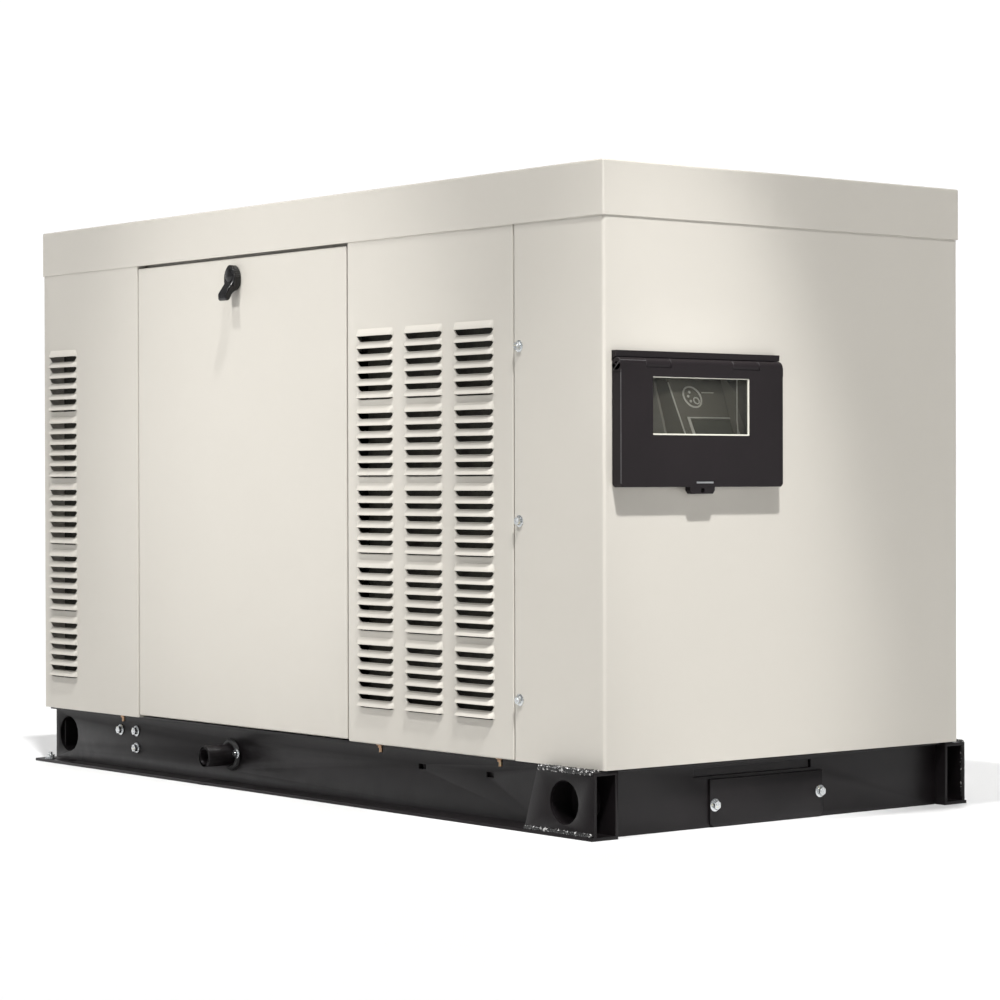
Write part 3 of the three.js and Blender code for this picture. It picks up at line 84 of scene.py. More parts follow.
# From the end of a discharge slot inwards: distance, share of the full height.
DISCHARGE_END = [(0, 0.35), (3, 0.72), (8, 1)]
CONTROL_OPENING = {"y0": -340, "y1": -45, "z0": 512, "z1": 674.3}
WEB_FACE = 345.5  # the rails' webs, from the middle
LIFT_FACE = 384.5  # the lifting boxes' outer faces
RAIL_END = 786

# ---------------------------------------------------------------- camera, stage and lights

CAMERA_PLACE = (3897.0, -3047.4, 510.1)
CAMERA_YAW = 51.34
CAMERA_PITCH = -0.371
CAMERA_ROLL = -0.144
CAMERA_LENS = 104.55
BACKDROP = (-0.781, 0.624, 0)
FLOOR_REACH = 60
FLOOR_GREY = 0.79


def make_camera():
    camera = bpy.data.objects.new("camera", bpy.data.cameras.new("camera"))
    camera.data.lens = CAMERA_LENS
    camera.data.sensor_width = 36
    camera.data.clip_end = 200
    yaw, pitch, roll = (math.radians(a) for a in (CAMERA_YAW, CAMERA_PITCH, CAMERA_ROLL))
    turn = Matrix.Rotation(yaw, 4, "Z") @ Matrix.Rotation(math.pi / 2 + pitch, 4, "X")
    place = Matrix.Translation(Vector(CAMERA_PLACE) * MM)
    camera.matrix_world = place @ turn @ Matrix.Rotation(roll, 4, "Z")
    bpy.context.collection.objects.link(camera)
    bpy.context.scene.camera = camera


def make_world():
    """A white backdrop on one side, and a paler and a darker grey round and above the rest."""
    world = bpy.data.worlds.new("studio")
    bpy.context.scene.world = world
    world.use_nodes = True
    nodes, links = world.node_tree.nodes, world.node_tree.links
    nodes.clear()
    place = nodes.new("ShaderNodeTexCoord")
    background = nodes.new("ShaderNodeBackground")
    output = nodes.new("ShaderNodeOutputWorld")

    def along(direction, low, high):
        """0 to 1 as the direction looked at turns towards the one given."""
        dot = nodes.new("ShaderNodeVectorMath")
        dot.operation = "DOT_PRODUCT"
        dot.inputs[1].default_value = direction
        links.new(place.outputs["Generated"], dot.inputs[0])
        share = nodes.new("ShaderNodeMapRange")
        share.inputs["From Min"].default_value = low
        share.inputs["From Max"].default_value = high
        links.new(dot.outputs["Value"], share.inputs["Value"])
        return share.outputs["Result"]

    def ramp(stops):
        made = nodes.new("ShaderNodeValToRGB")
        for i, (position, grey) in enumerate(stops):
            stop = made.color_ramp.elements[i] if i < 2 else made.color_ramp.elements.new(position)
            stop.position = position
            stop.color = (grey, grey, grey, 1)
        links.new(along((0, 0, 1), -1, 1), made.inputs["Fac"])
        return made.outputs["Color"]

    mix = nodes.new("ShaderNodeMix")
    mix.data_type = "RGBA"
    links.new(along(BACKDROP, 0.3, 0.75), mix.inputs["Factor"])
    links.new(ramp([(0.38, 0.26), (0.44, 0.42), (0.6, 0.42), (0.7, 0.22), (1.0, 0.22)]), mix.inputs["A"])
    links.new(ramp([(0.36, 0.6), (0.42, 1.05), (0.6, 1.05), (0.7, 0.3), (1.0, 0.24)]), mix.inputs["B"])
    links.new(mix.outputs["Result"], background.inputs["Color"])
    links.new(background.outputs["Background"], output.inputs["Surface"])


def make_spot(name, place, target, power, cone, size):
    """A soft-edged pool of light on one side of the enclosure. Places are in the unit's millimetres."""
    lamp = bpy.data.lights.new(name, "SPOT")
    lamp.energy = power
    lamp.spot_size = math.radians(cone)
    lamp.spot_blend = 1
    lamp.shadow_soft_size = size
    spot = bpy.data.objects.new(name, lamp)
    spot.location = Vector(place) * MM + MIDDLE
    spot.rotation_euler = (Vector(place) - Vector(target)).to_track_quat("Z", "Y").to_euler()
    bpy.context.collection.objects.link(spot)


def make_sun(name, towards, strength, angle):
    """A distant lamp that shines from the direction given."""
    lamp = bpy.data.lights.new(name, "SUN")
    lamp.energy = strength
    lamp.angle = math.radians(angle)
    sun = bpy.data.objects.new(name, lamp)
    sun.rotation_euler = Vector(towards).to_track_quat("Z", "Y").to_euler()
    bpy.context.collection.objects.link(sun)


def make_floor():
    floor = bpy.data.meshes.new("floor")
    corners = [(x * FLOOR_REACH, y * FLOOR_REACH, 0) for x, y in ((-1, -1), (1, -1), (1, 1), (-1, 1))]
    floor.from_pydata(corners, [], [(0, 1, 2, 3)])
    plane = bpy.data.objects.new("floor", floor)
    material = bpy.data.materials.new("floor")
    material.use_nodes = True
    shader = material.node_tree.nodes["Principled BSDF"]
    shader.inputs["Base Color"].default_value = (FLOOR_GREY, FLOOR_GREY, FLOOR_GREY, 1)
    shader.inputs["Roughness"].default_value = 0.7
    floor.materials.append(material)
    bpy.context.collection.objects.link(plane)


def make_stage():
    """The floor, three distant lamps, three pools of light and the surroundings."""
    make_floor()
    make_sun("key_end", (0.42, -0.2, 0.885), 2.1, 3)
    make_sun("key_front", (-0.02, -0.5, 0.865), 1.7, 3)
    make_sun("fill_back", (-0.6, 0.75, 0.25), 0.8, 30)
    make_spot("pool_front", (-40, -2700, 1650), (-60, -366, 660), 130, 30, 0.05)
    make_spot("pool_window", (2700, -1720, 950), (788, -195, 616), 210, 5.2, 0.1)
    make_spot("pool_end", (2050, -800, 3130), (788, -190, 490), 440, 15, 0.05)
    make_world()
    bpy.context.scene.view_settings.view_transform = "Standard"


# ---------------------------------------------------------------- materials

WEAR_SPAN = 0.1  # from the first sign of wear to bare
FLECK_SPAN = 0.04
# Each finish: its name, colour and roughness, and what else make_material is told.
FINISHES = {
    "powder": (
        "powder_coat_bisque", (0.525, 0.498, 0.447), 0.42,
        dict(spread=0.012, scale=3, grain=1500, depth=0.05),
    ),
    "black": (
        "base_paint_black", (0.0082, 0.0068, 0.0074), 0.36,
        dict(spread=0.2, scale=9, grain=420, depth=0.11, gloss=0.08, specular=0.2),
    ),
    "lid": (
        "lid_plastic", (0.0095, 0.0070, 0.0080), 0.5,
        dict(spread=0.08, scale=14, grain=2200, depth=0.05, specular=0.22),
    ),
    "gloss_black": (
        "latch_black", (0.004, 0.0036, 0.004), 0.16,
        dict(spread=0.1, scale=40, grain=700, depth=0.04, wear=(0.03, 0.03, 0.03), wear_from=0.6,
             specular=0.4),
    ),
    # A grey far paler than the lid, for thin lines that paint highlights on the lid's edges.
    "lid_edge": ("lid_edge", (0.10, 0.096, 0.097), 0.3, dict(spread=0.1, scale=40, grain=1800, depth=0.03)),
    # A lighter copy of grey_plastic: painted light on the console's lit left side.
    "side_grey": ("side_grey", (0.30, 0.29, 0.24), 0.5, dict(spread=0.08, scale=20, grain=1600, depth=0.05)),
    # Black weld with pale flecks: bare steel, and also painted glints standing in for the bead's highlights.
    "weld": (
        "weld_bead", (0.03, 0.03, 0.03), 0.24,
        dict(metallic=0.4, spread=0.3, scale=60, grain=500, depth=0.25,
             flecks=((0.5, 0.49, 0.48), 190, 0.58), gloss=0.1),
    ),
    "grey": (
        "grey_plastic", (0.15, 0.142, 0.11), 0.48,
        dict(spread=0.05, scale=12, grain=1600, depth=0.06, wear=(0.24, 0.23, 0.19), wear_from=0.57),
    ),
    # Pale for the printed ring and the tray's edges, and also for painted highlights round the window and
    # along the console's edges.
    "pale": ("pale_trim", (0.62, 0.61, 0.53), 0.35, dict(spread=0.04, scale=20, grain=1400, depth=0.03)),
    "zinc": (
        "zinc_plate", (0.62, 0.64, 0.65), 0.27,
        dict(metallic=1, spread=0.12, scale=70, grain=900, depth=0.03,
             flecks=((0.75, 0.72, 0.58), 150, 0.62)),
    ),
    "brass": (
        "yellow_zinc", (0.42, 0.27, 0.17), 0.3,
        dict(metallic=1, spread=0.15, scale=80, grain=900, depth=0.03,
             flecks=((0.30, 0.36, 0.20), 140, 0.6)),
    ),
    "steel": (
        "machined_steel", (0.50, 0.51, 0.52), 0.3,
        dict(metallic=1, spread=0.08, scale=20, grain=300, depth=0.03, stretch=(0.1, 1, 1),
             wear=(0.55, 0.55, 0.55)),
    ),
    "aluminised": (
        "aluminised_steel", (0.52, 0.51, 0.48), 0.42,
        dict(metallic=1, spread=0.18, scale=12, grain=350, depth=0.05,
             flecks=((0.36, 0.30, 0.22), 9, 0.62), gloss=0.12),
    ),
    "iron": (
        "cast_iron", (0.055, 0.062, 0.068), 0.55,
        dict(metallic=0.35, spread=0.25, scale=18, grain=380, depth=0.35, wear=(0.16, 0.16, 0.16),
             wear_from=0.54),
    ),
    "cast": (
        "cast_aluminium", (0.50, 0.505, 0.51), 0.46,
        dict(metallic=0.9, spread=0.12, scale=16, grain=420, depth=0.25, wear=(0.68, 0.68, 0.68),
             wear_from=0.55),
    ),
    "enamel": (
        "black_enamel", (0.014, 0.014, 0.015), 0.24,
        dict(spread=0.2, scale=20, grain=600, depth=0.05, coat=0.3, wear=(0.08, 0.08, 0.08),
             wear_from=0.57),
    ),
    "frame_grey": (
        "stator_paint", (0.10, 0.108, 0.115), 0.4,
        dict(spread=0.12, scale=14, grain=500, depth=0.12, wear=(0.22, 0.22, 0.22), wear_from=0.56),
    ),
    "rubber": (
        "black_rubber", (0.018, 0.018, 0.018), 0.72,
        dict(spread=0.25, scale=30, grain=900, depth=0.12, gloss=0.1, wear=(0.05, 0.05, 0.05),
             wear_from=0.56),
    ),
    "core": (
        "radiator_core", (0.11, 0.11, 0.11), 0.5,
        dict(metallic=0.4, spread=0.2, scale=40, grain=160, depth=1.0, stretch=(1, 0.12, 2.5)),
    ),
    "dark_plastic": (
        "dark_plastic", (0.022, 0.022, 0.023), 0.5,
        dict(spread=0.15, scale=22, grain=1200, depth=0.08, wear=(0.06, 0.06, 0.06), wear_from=0.57),
    ),
    "window": (
        "clear_window", (0.10, 0.10, 0.09), 0.06,
        dict(spread=0.02, scale=6, grain=60, depth=0.002, gloss=0.02, alpha=0.1, specular=0.3),
    ),
    "screen": (
        "display_glass", (0.085, 0.085, 0.065), 0.12,
        dict(spread=0.1, scale=25, grain=900, depth=0.01, gloss=0.03, coat=0.8),
    ),
    "green": ("green_key", (0.05, 0.27, 0.09), 0.35, dict(spread=0.05, scale=60, grain=1500, coat=0.3)),
    "red": ("red_key", (0.42, 0.025, 0.02), 0.35, dict(spread=0.05, scale=60, grain=1500, coat=0.3)),
    "blue": ("blue_key", (0.03, 0.10, 0.38), 0.35, dict(spread=0.05, scale=60, grain=1500, coat=0.3)),
    # Dark olive for the sheets behind the louvres: painted shade for the enclosure's dark inside.
    "foam": ("acoustic_foam", (0.034, 0.032, 0.024), 0.9, dict(spread=0.3, scale=60, grain=260, depth=1.2)),
}


def tint(color, factor):
    return tuple(min(1, c * factor) for c in color) + (1,)


def make_material(
    name, color, roughness, metallic=0.0, spread=0.03, scale=7, grain=900, depth=0.04, gloss=0.05,
    wear=None, wear_from=0.56, coat=0.0, stretch=(1, 1, 1), alpha=1.0, flecks=None, specular=0.5,
):
    """A procedural finish: slow colour drift, fine grain in the surface, uneven gloss and worn edges."""
    material = bpy.data.materials.new(name)
    material.use_nodes = True
    nodes, links = material.node_tree.nodes, material.node_tree.links
    shader = nodes["Principled BSDF"]
    shader.inputs["Metallic"].default_value = metallic
    shader.inputs["Coat Weight"].default_value = coat
    shader.inputs["Specular IOR Level"].default_value = specular
    if coat:
        shader.inputs["Coat Roughness"].default_value = 0.12
    place = nodes.new("ShaderNodeTexCoord")
    mapping = nodes.new("ShaderNodeMapping")
    mapping.inputs["Scale"].default_value = stretch
    links.new(place.outputs["Object"], mapping.inputs["Vector"])

    def noise(fineness, detail=3.0):
        made = nodes.new("ShaderNodeTexNoise")
        made.inputs["Scale"].default_value = fineness
        made.inputs["Detail"].default_value = detail
        links.new(mapping.outputs["Vector"], made.inputs["Vector"])
        return made

    drift = nodes.new("ShaderNodeValToRGB")
    drift.color_ramp.elements[0].position = 0.3
    drift.color_ramp.elements[0].color = tint(color, 1 - spread)
    drift.color_ramp.elements[1].position = 0.7
    drift.color_ramp.elements[1].color = tint(color, 1 + spread)
    links.new(noise(scale, 5).outputs["Fac"], drift.inputs["Fac"])
    finish = drift.outputs["Color"]

    def blend_in(mask_output, over, low, high):
        """Mixes another colour over the finish where the mask is high."""
        nonlocal finish
        mask = nodes.new("ShaderNodeMapRange")
        mask.inputs["From Min"].default_value = low
        mask.inputs["From Max"].default_value = high
        links.new(mask_output, mask.inputs["Value"])
        mix = nodes.new("ShaderNodeMix")
        mix.data_type = "RGBA"
        mix.inputs["B"].default_value = over + (1,)
        links.new(mask.outputs["Result"], mix.inputs["Factor"])
        links.new(finish, mix.inputs["A"])
        finish = mix.outputs["Result"]
        return mask.outputs["Result"]

    if flecks:
        blend_in(noise(flecks[1], 2).outputs["Fac"], flecks[0], flecks[2], flecks[2] + FLECK_SPAN)
    if wear:
        edges = nodes.new("ShaderNodeNewGeometry")
        blend_in(edges.outputs["Pointiness"], wear, wear_from, wear_from + WEAR_SPAN)
    links.new(finish, shader.inputs["Base Color"])

    uneven = nodes.new("ShaderNodeMapRange")
    uneven.inputs["To Min"].default_value = max(0.02, roughness - gloss)
    uneven.inputs["To Max"].default_value = roughness + gloss
    links.new(noise(scale * 6).outputs["Fac"], uneven.inputs["Value"])
    links.new(uneven.outputs["Result"], shader.inputs["Roughness"])

    bump = nodes.new("ShaderNodeBump")
    bump.inputs["Strength"].default_value = 1.0
    bump.inputs["Distance"].default_value = depth * MM
    links.new(noise(grain, 2).outputs["Fac"], bump.inputs["Height"])
    links.new(bump.outputs["Normal"], shader.inputs["Normal"])
    shader.inputs["Alpha"].default_value = alpha
    return material


def make_materials():
    return {key: make_material(*basics, **more) for key, (*basics, more) in FINISHES.items()}


# ---------------------------------------------------------------- shapes


class Shape:
    """Mesh parts in the unit's millimetres, collected into one piece."""

    def __init__(self):
        self.mesh = bmesh.new()

    def take(self, part):
        """Adds another bmesh and frees it."""
        moved = bpy.data.meshes.new("part")
        part.to_mesh(moved)
        part.free()
        self.mesh.from_mesh(moved)
        bpy.data.meshes.remove(moved)
        return self

    def block(self, low, high, bevel=0.8, segments=2):
        """A box with rounded edges."""
        part = cube(Vector(low), Vector(high))
        round_edges(part, part.edges, bevel, segments)
        return self.take(part)

    def prism(self, axis, outline, start, end, bevel=0.8, segments=2):
        """A flat outline, in the two other axes in X, Y, Z order, made solid along an axis."""
        part = bmesh.new()

        def place(u, v, w):
            return {"x": (w, u, v), "y": (u, w, v), "z": (u, v, w)}[axis]

        bottom = part.faces.new([part.verts.new(place(u, v, start)) for u, v in outline])
        top = bmesh.ops.extrude_face_region(part, geom=[bottom])
        moved = [v for v in top["geom"] if isinstance(v, bmesh.types.BMVert)]
        bmesh.ops.translate(part, vec=place(0, 0, end - start), verts=moved)
        bmesh.ops.recalc_face_normals(part, faces=part.faces)
        round_edges(part, part.edges, bevel, segments)
        return self.take(part)

    def lathe(self, axis, centre, profile, sides=32):
        """A turned part: profile is (distance along the axis, radius), centre the two other coordinates."""
        part = bmesh.new()
        rings = []
        for along, radius in profile:
            ring = []
            count = sides if radius > 0 else 1
            for i in range(count):
                angle = 2 * math.pi * i / sides
                u, v = centre[0] + radius * math.cos(angle), centre[1] + radius * math.sin(angle)
                spot = {"x": (along, u, v), "y": (u, along, v), "z": (u, v, along)}[axis]
                ring.append(part.verts.new(spot))
            rings.append(ring)
        for one, two in zip(rings, rings[1:]):
            for i in range(sides):
                after = i + 1
                corners = [one[i % len(one)], one[after % len(one)]]
                corners += [two[after % len(two)], two[i % len(two)]]
                corners = list(dict.fromkeys(corners))
                if len(corners) > 2:
                    part.faces.new(corners)
        for ring in (rings[0], rings[-1]):
            if len(ring) > 1 and profile[0] != profile[-1]:
                part.faces.new(ring)
        bmesh.ops.remove_doubles(part, verts=part.verts, dist=1e-4)
        bmesh.ops.recalc_face_normals(part, faces=part.faces)
        return self.take(part)

    def tube(self, points, radius, sides=12, closed=False):
        """A round bar through the points; radius may be a function of the point's number."""
        part = bmesh.new()
        spots = [Vector(p) for p in points]
        rings = []
        side = None
        for i, spot in enumerate(spots):
            before = spots[i - 1] if i or closed else spots[0]
            after = spots[(i + 1) % len(spots)] if i + 1 < len(spots) or closed else spots[-1]
            run = (after - before).normalized()
            if side is None:
                side = run.orthogonal().normalized()
            side = (side - run * side.dot(run)).normalized()
            other = run.cross(side)
            size = radius(i) if callable(radius) else radius
            ring = []
            for k in range(sides):
                angle = 2 * math.pi * k / sides
                ring.append(part.verts.new(spot + (side * math.cos(angle) + other * math.sin(angle)) * size))
            rings.append(ring)
        pairs = list(zip(rings, rings[1:]))
        if closed:
            pairs.append((rings[-1], rings[0]))
        for one, two in pairs:
            for k in range(sides):
                part.faces.new((one[k], one[(k + 1) % sides], two[(k + 1) % sides], two[k]))
        if not closed:
            part.faces.new(rings[0])
            part.faces.new(rings[-1])
        bmesh.ops.recalc_face_normals(part, faces=part.faces)
        return self.take(part)

    def mirrored(self):
        """The same shape at the back of the unit."""
        other = Shape()
        other.mesh = self.mesh.copy()
        bmesh.ops.scale(other.mesh, vec=(1, -1, 1), verts=other.mesh.verts)
        bmesh.ops.reverse_faces(other.mesh, faces=other.mesh.faces)
        return other

    def finished(self, name):
        """The Blender object, in the frame's metres and place."""
        bmesh.ops.scale(self.mesh, vec=(MM, MM, MM), verts=self.mesh.verts)
        bmesh.ops.translate(self.mesh, vec=MIDDLE, verts=self.mesh.verts)
        data = bpy.data.meshes.new(name)
        self.mesh.to_mesh(data)
        self.mesh.free()
        made = bpy.data.objects.new(name, data)
        bpy.context.collection.objects.link(made)
        return made

    def emit(self, name, body, material, nodes=(), slot=None, solidify=0, cutters=()):
        """Puts the object on its body and hides the CAD nodes it stands for."""
        made = self.finished(name)
        made.data.materials.append(material)
        if solidify:
            thick = made.modifiers.new("sheet", "SOLIDIFY")
            thick.thickness = solidify * MM
            thick.offset = -1
        for cutter in cutters:
            cut = made.modifiers.new("cut", "BOOLEAN")
            cut.operation = "DIFFERENCE"
            cut.solver = "EXACT"
            cut.use_self = True
            cut.object = cutter
        if solidify or cutters:
            made.data = applied(made)
            made.modifiers.clear()
            made.data.name = name
        dress(made)
        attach(made, body)
        if nodes:
            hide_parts(*nodes)


def cube(low, high):
    part = bmesh.new()
    bmesh.ops.create_cube(part, size=1)
    bmesh.ops.scale(part, vec=high - low, verts=part.verts)
    bmesh.ops.translate(part, vec=(low + high) / 2, verts=part.verts)
    return part


def round_edges(part, edges, bevel, segments=2):
    if bevel:
        bmesh.ops.bevel(
            part, geom=list(edges), offset=bevel, segments=segments, profile=0.5, affect="EDGES",
            clamp_overlap=True,
        )


def extruded(part, edges):
    """Extrudes open edges in place and gives back the new vertices."""
    out = bmesh.ops.extrude_edge_only(part, edges=edges)
    return [v for v in out["geom"] if isinstance(v, bmesh.types.BMVert)]


def applied(thing):
    """The mesh of an object with its modifiers applied."""
    graph = bpy.context.evaluated_depsgraph_get()
    return bpy.data.meshes.new_from_object(thing.evaluated_get(graph))


def dress(thing, sharp_from=32):
    """Smooth shading with crisp flats."""
    thing.data.shade_smooth()
    thing.data.set_sharp_from_angle(angle=math.radians(sharp_from))
    weighted = thing.modifiers.new("normals", "WEIGHTED_NORMAL")
    weighted.keep_sharp = True
    weighted.weight = 80


TOOLS = []


def cutter(build):
    """A hidden tool for boolean cuts, made by a function that fills a Shape."""
    shape = Shape()
    build(shape)
    tool = shape.finished("tool")
    TOOLS.append(tool)
    return tool


def drop_tools():
    for tool in TOOLS:
        bpy.data.objects.remove(tool)


def arc(centre, radius, start, end, count):
    """Points on an arc, angles in degrees, in the plane of the two coordinates."""
    steps = [math.radians(start + (end - start) * i / count) for i in range(count + 1)]
    return [(centre[0] + radius * math.cos(a), centre[1] + radius * math.sin(a)) for a in steps]


def around(centre, radius, count, start=0.0):
    """Places spaced evenly round a circle."""
    angles = [start + 2 * math.pi * i / count for i in range(count)]
    return [(centre[0] + radius * math.cos(a), centre[1] + radius * math.sin(a)) for a in angles]


# ---------------------------------------------------------------- sheet metal


def straight_path(y, x0):
    """Places a sheet on a plane that faces the front: u runs along X from x0, d stands out."""

    def place(u, z, d):
        return Vector((x0 + u, y - d, z))

    return place


def wrap_path(seam, end, half):
    """A sheet that runs from the seam along the front, round the end and back along the rear."""
    side = abs(end - seam) - CORNER_RADIUS
    bend = math.pi / 2 * CORNER_RADIUS
    across = 2 * (half - CORNER_RADIUS)
    way = 1 if end > seam else -1

    def place(u, z, d):
        r = CORNER_RADIUS + d
        if u <= side:
            return Vector((seam + way * u, -half - d, z))
        u -= side
        if u <= bend:
            angle = u / CORNER_RADIUS
            x = end - way * CORNER_RADIUS + way * r * math.sin(angle)
            return Vector((x, -half + CORNER_RADIUS - r * math.cos(angle), z))
        u -= bend
        if u <= across:
            return Vector((end + way * d, -half + CORNER_RADIUS + u, z))
        u -= across
        if u <= bend:
            angle = u / CORNER_RADIUS
            x = end - way * CORNER_RADIUS + way * r * math.cos(angle)
            return Vector((x, half - CORNER_RADIUS + r * math.sin(angle), z))
        u -= bend
        return Vector((end - way * (CORNER_RADIUS + u), half + d, z))

    return place, side, bend, across


class Patch:
    """A stretch of sheet with its own rows. Cells that are open become holes."""

    def __init__(self, us, rows, is_open=None):
        self.us = us
        self.rows = rows
        self.is_open = is_open or (lambda u, row: False)


def flat_row(z):
    """A row of a patch at one height, flush with the sheet."""
    return (lambda u: z, lambda u: 0)


def plain_patch(us, z0, z1):
    return Patch(us, [flat_row(z1), flat_row(z0)])


def corner_patch(start, length, z0, z1):
    us = [start + length * i / CORNER_STEPS for i in range(CORNER_STEPS + 1)]
    return plain_patch(us, z0, z1)


def louvre_patch(middle, top, z0, z1):
    """One column of pressed louvres: hoods that stand out, with an opening under each lip."""
    half = LOUVRE["half"]
    us = []
    for distance, _, _ in LOUVRE_END:
        us += [middle - half + distance, middle + half - distance]
    us.sort()

    def along(u, field):
        distance = half - abs(u - middle)
        for end in reversed(LOUVRE_END):
            if distance >= end[0] - 1e-6:
                return end[field]
        return LOUVRE_END[0][field]

    rows = [flat_row(z1)]
    openings = set()
    for group in range(LOUVRE["groups"]):
        for i in range(LOUVRE["per_group"]):
            crown = top - group * LOUVRE["group_pitch"] - i * LOUVRE["pitch"]
            lip = crown - LOUVRE["hood"]
            crown += FIRST_CROWN if i == 0 else 0
            for down, out in HOOD:
                z = crown - down * (crown - lip)
                rows.append((lambda u, z=z: z, lambda u, out=out: out * along(u, 1) * LOUVRE_DEPTH))
            gap = 1 if i + 1 < LOUVRE["per_group"] else LAST_GAP / LOUVRE_END[-1][2]
            openings.add(len(rows) - 1)
            rows.append((lambda u, lip=lip, gap=gap: lip - along(u, 2) * gap, lambda u: 0))
    rows.append(flat_row(z0))
    inside = half - LOUVRE_END[1][0]
    return Patch(us, rows, lambda u, row: row in openings and abs(u - middle) < inside)


def slot_patch(start, z0, z1, width):
    """Rows of discharge slots with rounded ends, in two banks."""
    middle = start + width / 2
    us = set()
    for side in (-1, 1):
        for distance, _ in DISCHARGE_END:
            us.add(middle + side * (DISCHARGE["inner"] + distance))
            us.add(middle + side * (DISCHARGE["outer"] - distance))
    us = sorted(us)

    def tall(u):
        off = abs(u - middle)
        distance = min(off - DISCHARGE["inner"], DISCHARGE["outer"] - off)
        for end, share in reversed(DISCHARGE_END):
            if distance >= end - 1e-6:
                return share
        return DISCHARGE_END[0][1]

    rows = [flat_row(z1)]
    openings = set()
    half = DISCHARGE["height"] / 2
    for i in reversed(range(DISCHARGE["count"])):
        centre = DISCHARGE["z0"] + i * DISCHARGE["pitch"] + half
        openings.add(len(rows))
        for way in (1, -1):
            rows.append((lambda u, centre=centre, way=way: centre + way * half * tall(u), lambda u: 0))
    rows.append(flat_row(z0))

    def is_open(u, row):
        return row in openings and DISCHARGE["inner"] < abs(u - middle) < DISCHARGE["outer"]

    return Patch(us, rows, is_open)


def window_patch(us, z0, z1, low, high):
    """A patch with one rectangular opening across it."""
    return Patch(us, [flat_row(z) for z in (z1, high, low, z0)], lambda u, row: row == 1)


def build_sheet(place, patches):
    """Joins patches from left to right, with flat sheet between them."""
    shape = Shape()
    part = shape.mesh
    previous = None
    for patch in patches:
        columns = []
        for u in patch.us:
            columns.append([part.verts.new(place(u, height(u), out(u))) for height, out in patch.rows])
        for i, (one, two) in enumerate(zip(columns, columns[1:])):
            centre = (patch.us[i] + patch.us[i + 1]) / 2
            for row in range(len(patch.rows) - 1):
                if not patch.is_open(centre, row):
                    part.faces.new((one[row], one[row + 1], two[row + 1], two[row]))
        if previous:
            part.faces.new(previous + list(reversed(columns[0])))
        previous = columns[-1]
    bmesh.ops.remove_doubles(part, verts=part.verts, dist=1e-3)
    bmesh.ops.recalc_face_normals(part, faces=part.faces)
    return shape


def push_edges(shape, edges, vector_at):
    """Extrudes open edges along a vector that may depend on the place."""
    for vertex in extruded(shape.mesh, edges):
        vertex.co += Vector(vector_at(vertex.co))
    bmesh.ops.recalc_face_normals(shape.mesh, faces=shape.mesh.faces)


def fold_edges(shape, edges, vector_at):
    """Folds open edges away with a round bend, and rounds the corners that meet it."""
    push_edges(shape, edges, vector_at)
    folded = [e for e in edges if e.is_valid]
    corners = []
    for edge in {e for f in folded for v in f.verts for e in v.link_edges} - set(folded):
        if not edge.is_boundary and len(edge.link_faces) == 2 and edge.calc_face_angle(0) > 0.8:
            corners.append(edge)
    round_edges(shape.mesh, folded + corners, FOLD_RADIUS, 3)


def face_front(shape):
    """Turns every face round if the sheet's largest face looks to the rear."""
    part = shape.mesh
    largest = max(part.faces, key=lambda f: f.calc_area())
    if largest.normal.y > 0:
        bmesh.ops.reverse_faces(part, faces=part.faces)


def border_edges(shape, wanted):
    """The open edges whose both ends pass a test."""
    return [e for e in shape.mesh.edges if e.is_boundary and all(wanted(v.co) for v in e.verts)]


def emit_sheet(shape, name, body, node, m):
    shape.emit(name, body, m["powder"], [node], "enclosure_paint", solidify=SHEET)


def front_tray(low, high, columns, ease=0):
    """A front panel between two corners, with four turned-in edges and any louvre columns."""
    x0, x1, z0, z1 = low.x + ease, high.x - ease, low.z, high.z
    patches = [plain_patch([0], z0, z1)]
    patches += [louvre_patch(x - x0, LOUVRE_TOP, z0, z1) for x in columns]
    patches.append(plain_patch([x1 - x0], z0, z1))
    shape = build_sheet(straight_path(extent("front_door")[0].y, x0), patches)

    def on_edge(p):
        return min(abs(p.x - x0), abs(p.x - x1), abs(p.z - z0), abs(p.z - z1)) < ON_EDGE

    fold_edges(shape, border_edges(shape, on_edge), lambda p: (0, FLANGE - SHEET, 0))
    face_front(shape)
    return shape


def wrap_cover(seam, end, side_patches, end_patches):
    """An end cover: two returns with flanges at their seams, and flanges along the top and bottom."""
    low, high = extent("control_end_cover")
    z0, z1, half = low.z, high.z, high.y
    place, side, bend, across = wrap_path(seam, end, half)
    last = 2 * side + 2 * bend + across
    patches = [plain_patch([0], z0, z1)]
    patches += side_patches(0, 1)
    patches.append(corner_patch(side, bend, z0, z1))
    patches += end_patches(side + bend, across)
    patches.append(corner_patch(side + bend + across, bend, z0, z1))
    patches += side_patches(last, -1)
    patches.append(plain_patch([last], z0, z1))
    shape = build_sheet(place, patches)
    way = 1 if end > seam else -1
    depth = FLANGE - SHEET
    inner_x, inner_y = end - way * CORNER_RADIUS, half - CORNER_RADIUS

    def at_seam(p):
        return abs(p.x - seam) < ON_EDGE

    def at_rim(p):
        return min(abs(p.z - z0), abs(p.z - z1)) < ON_EDGE

    def inwards(p):
        return (0, depth * (1 if p.y < 0 else -1), 0)

    def to_middle(p):
        """Straight in on the flats, and towards the corner's own middle on a bend."""
        past_x, past_y = way * (p.x - inner_x) > 0, abs(p.y) > inner_y
        sign = 1 if p.y < 0 else -1
        if past_x and past_y:
            pull = Vector((inner_x - p.x, -sign * inner_y - p.y, 0)).normalized()
            return pull * (CORNER_RADIUS - 0.4)
        if past_x:
            return (-way * depth, 0, 0)
        if past_y:
            return (0, sign * depth, 0)
        return (0, 0, 0)

    fold_edges(shape, border_edges(shape, at_seam), inwards)
    push_edges(shape, border_edges(shape, at_rim), to_middle)
    face_front(shape)
    return shape


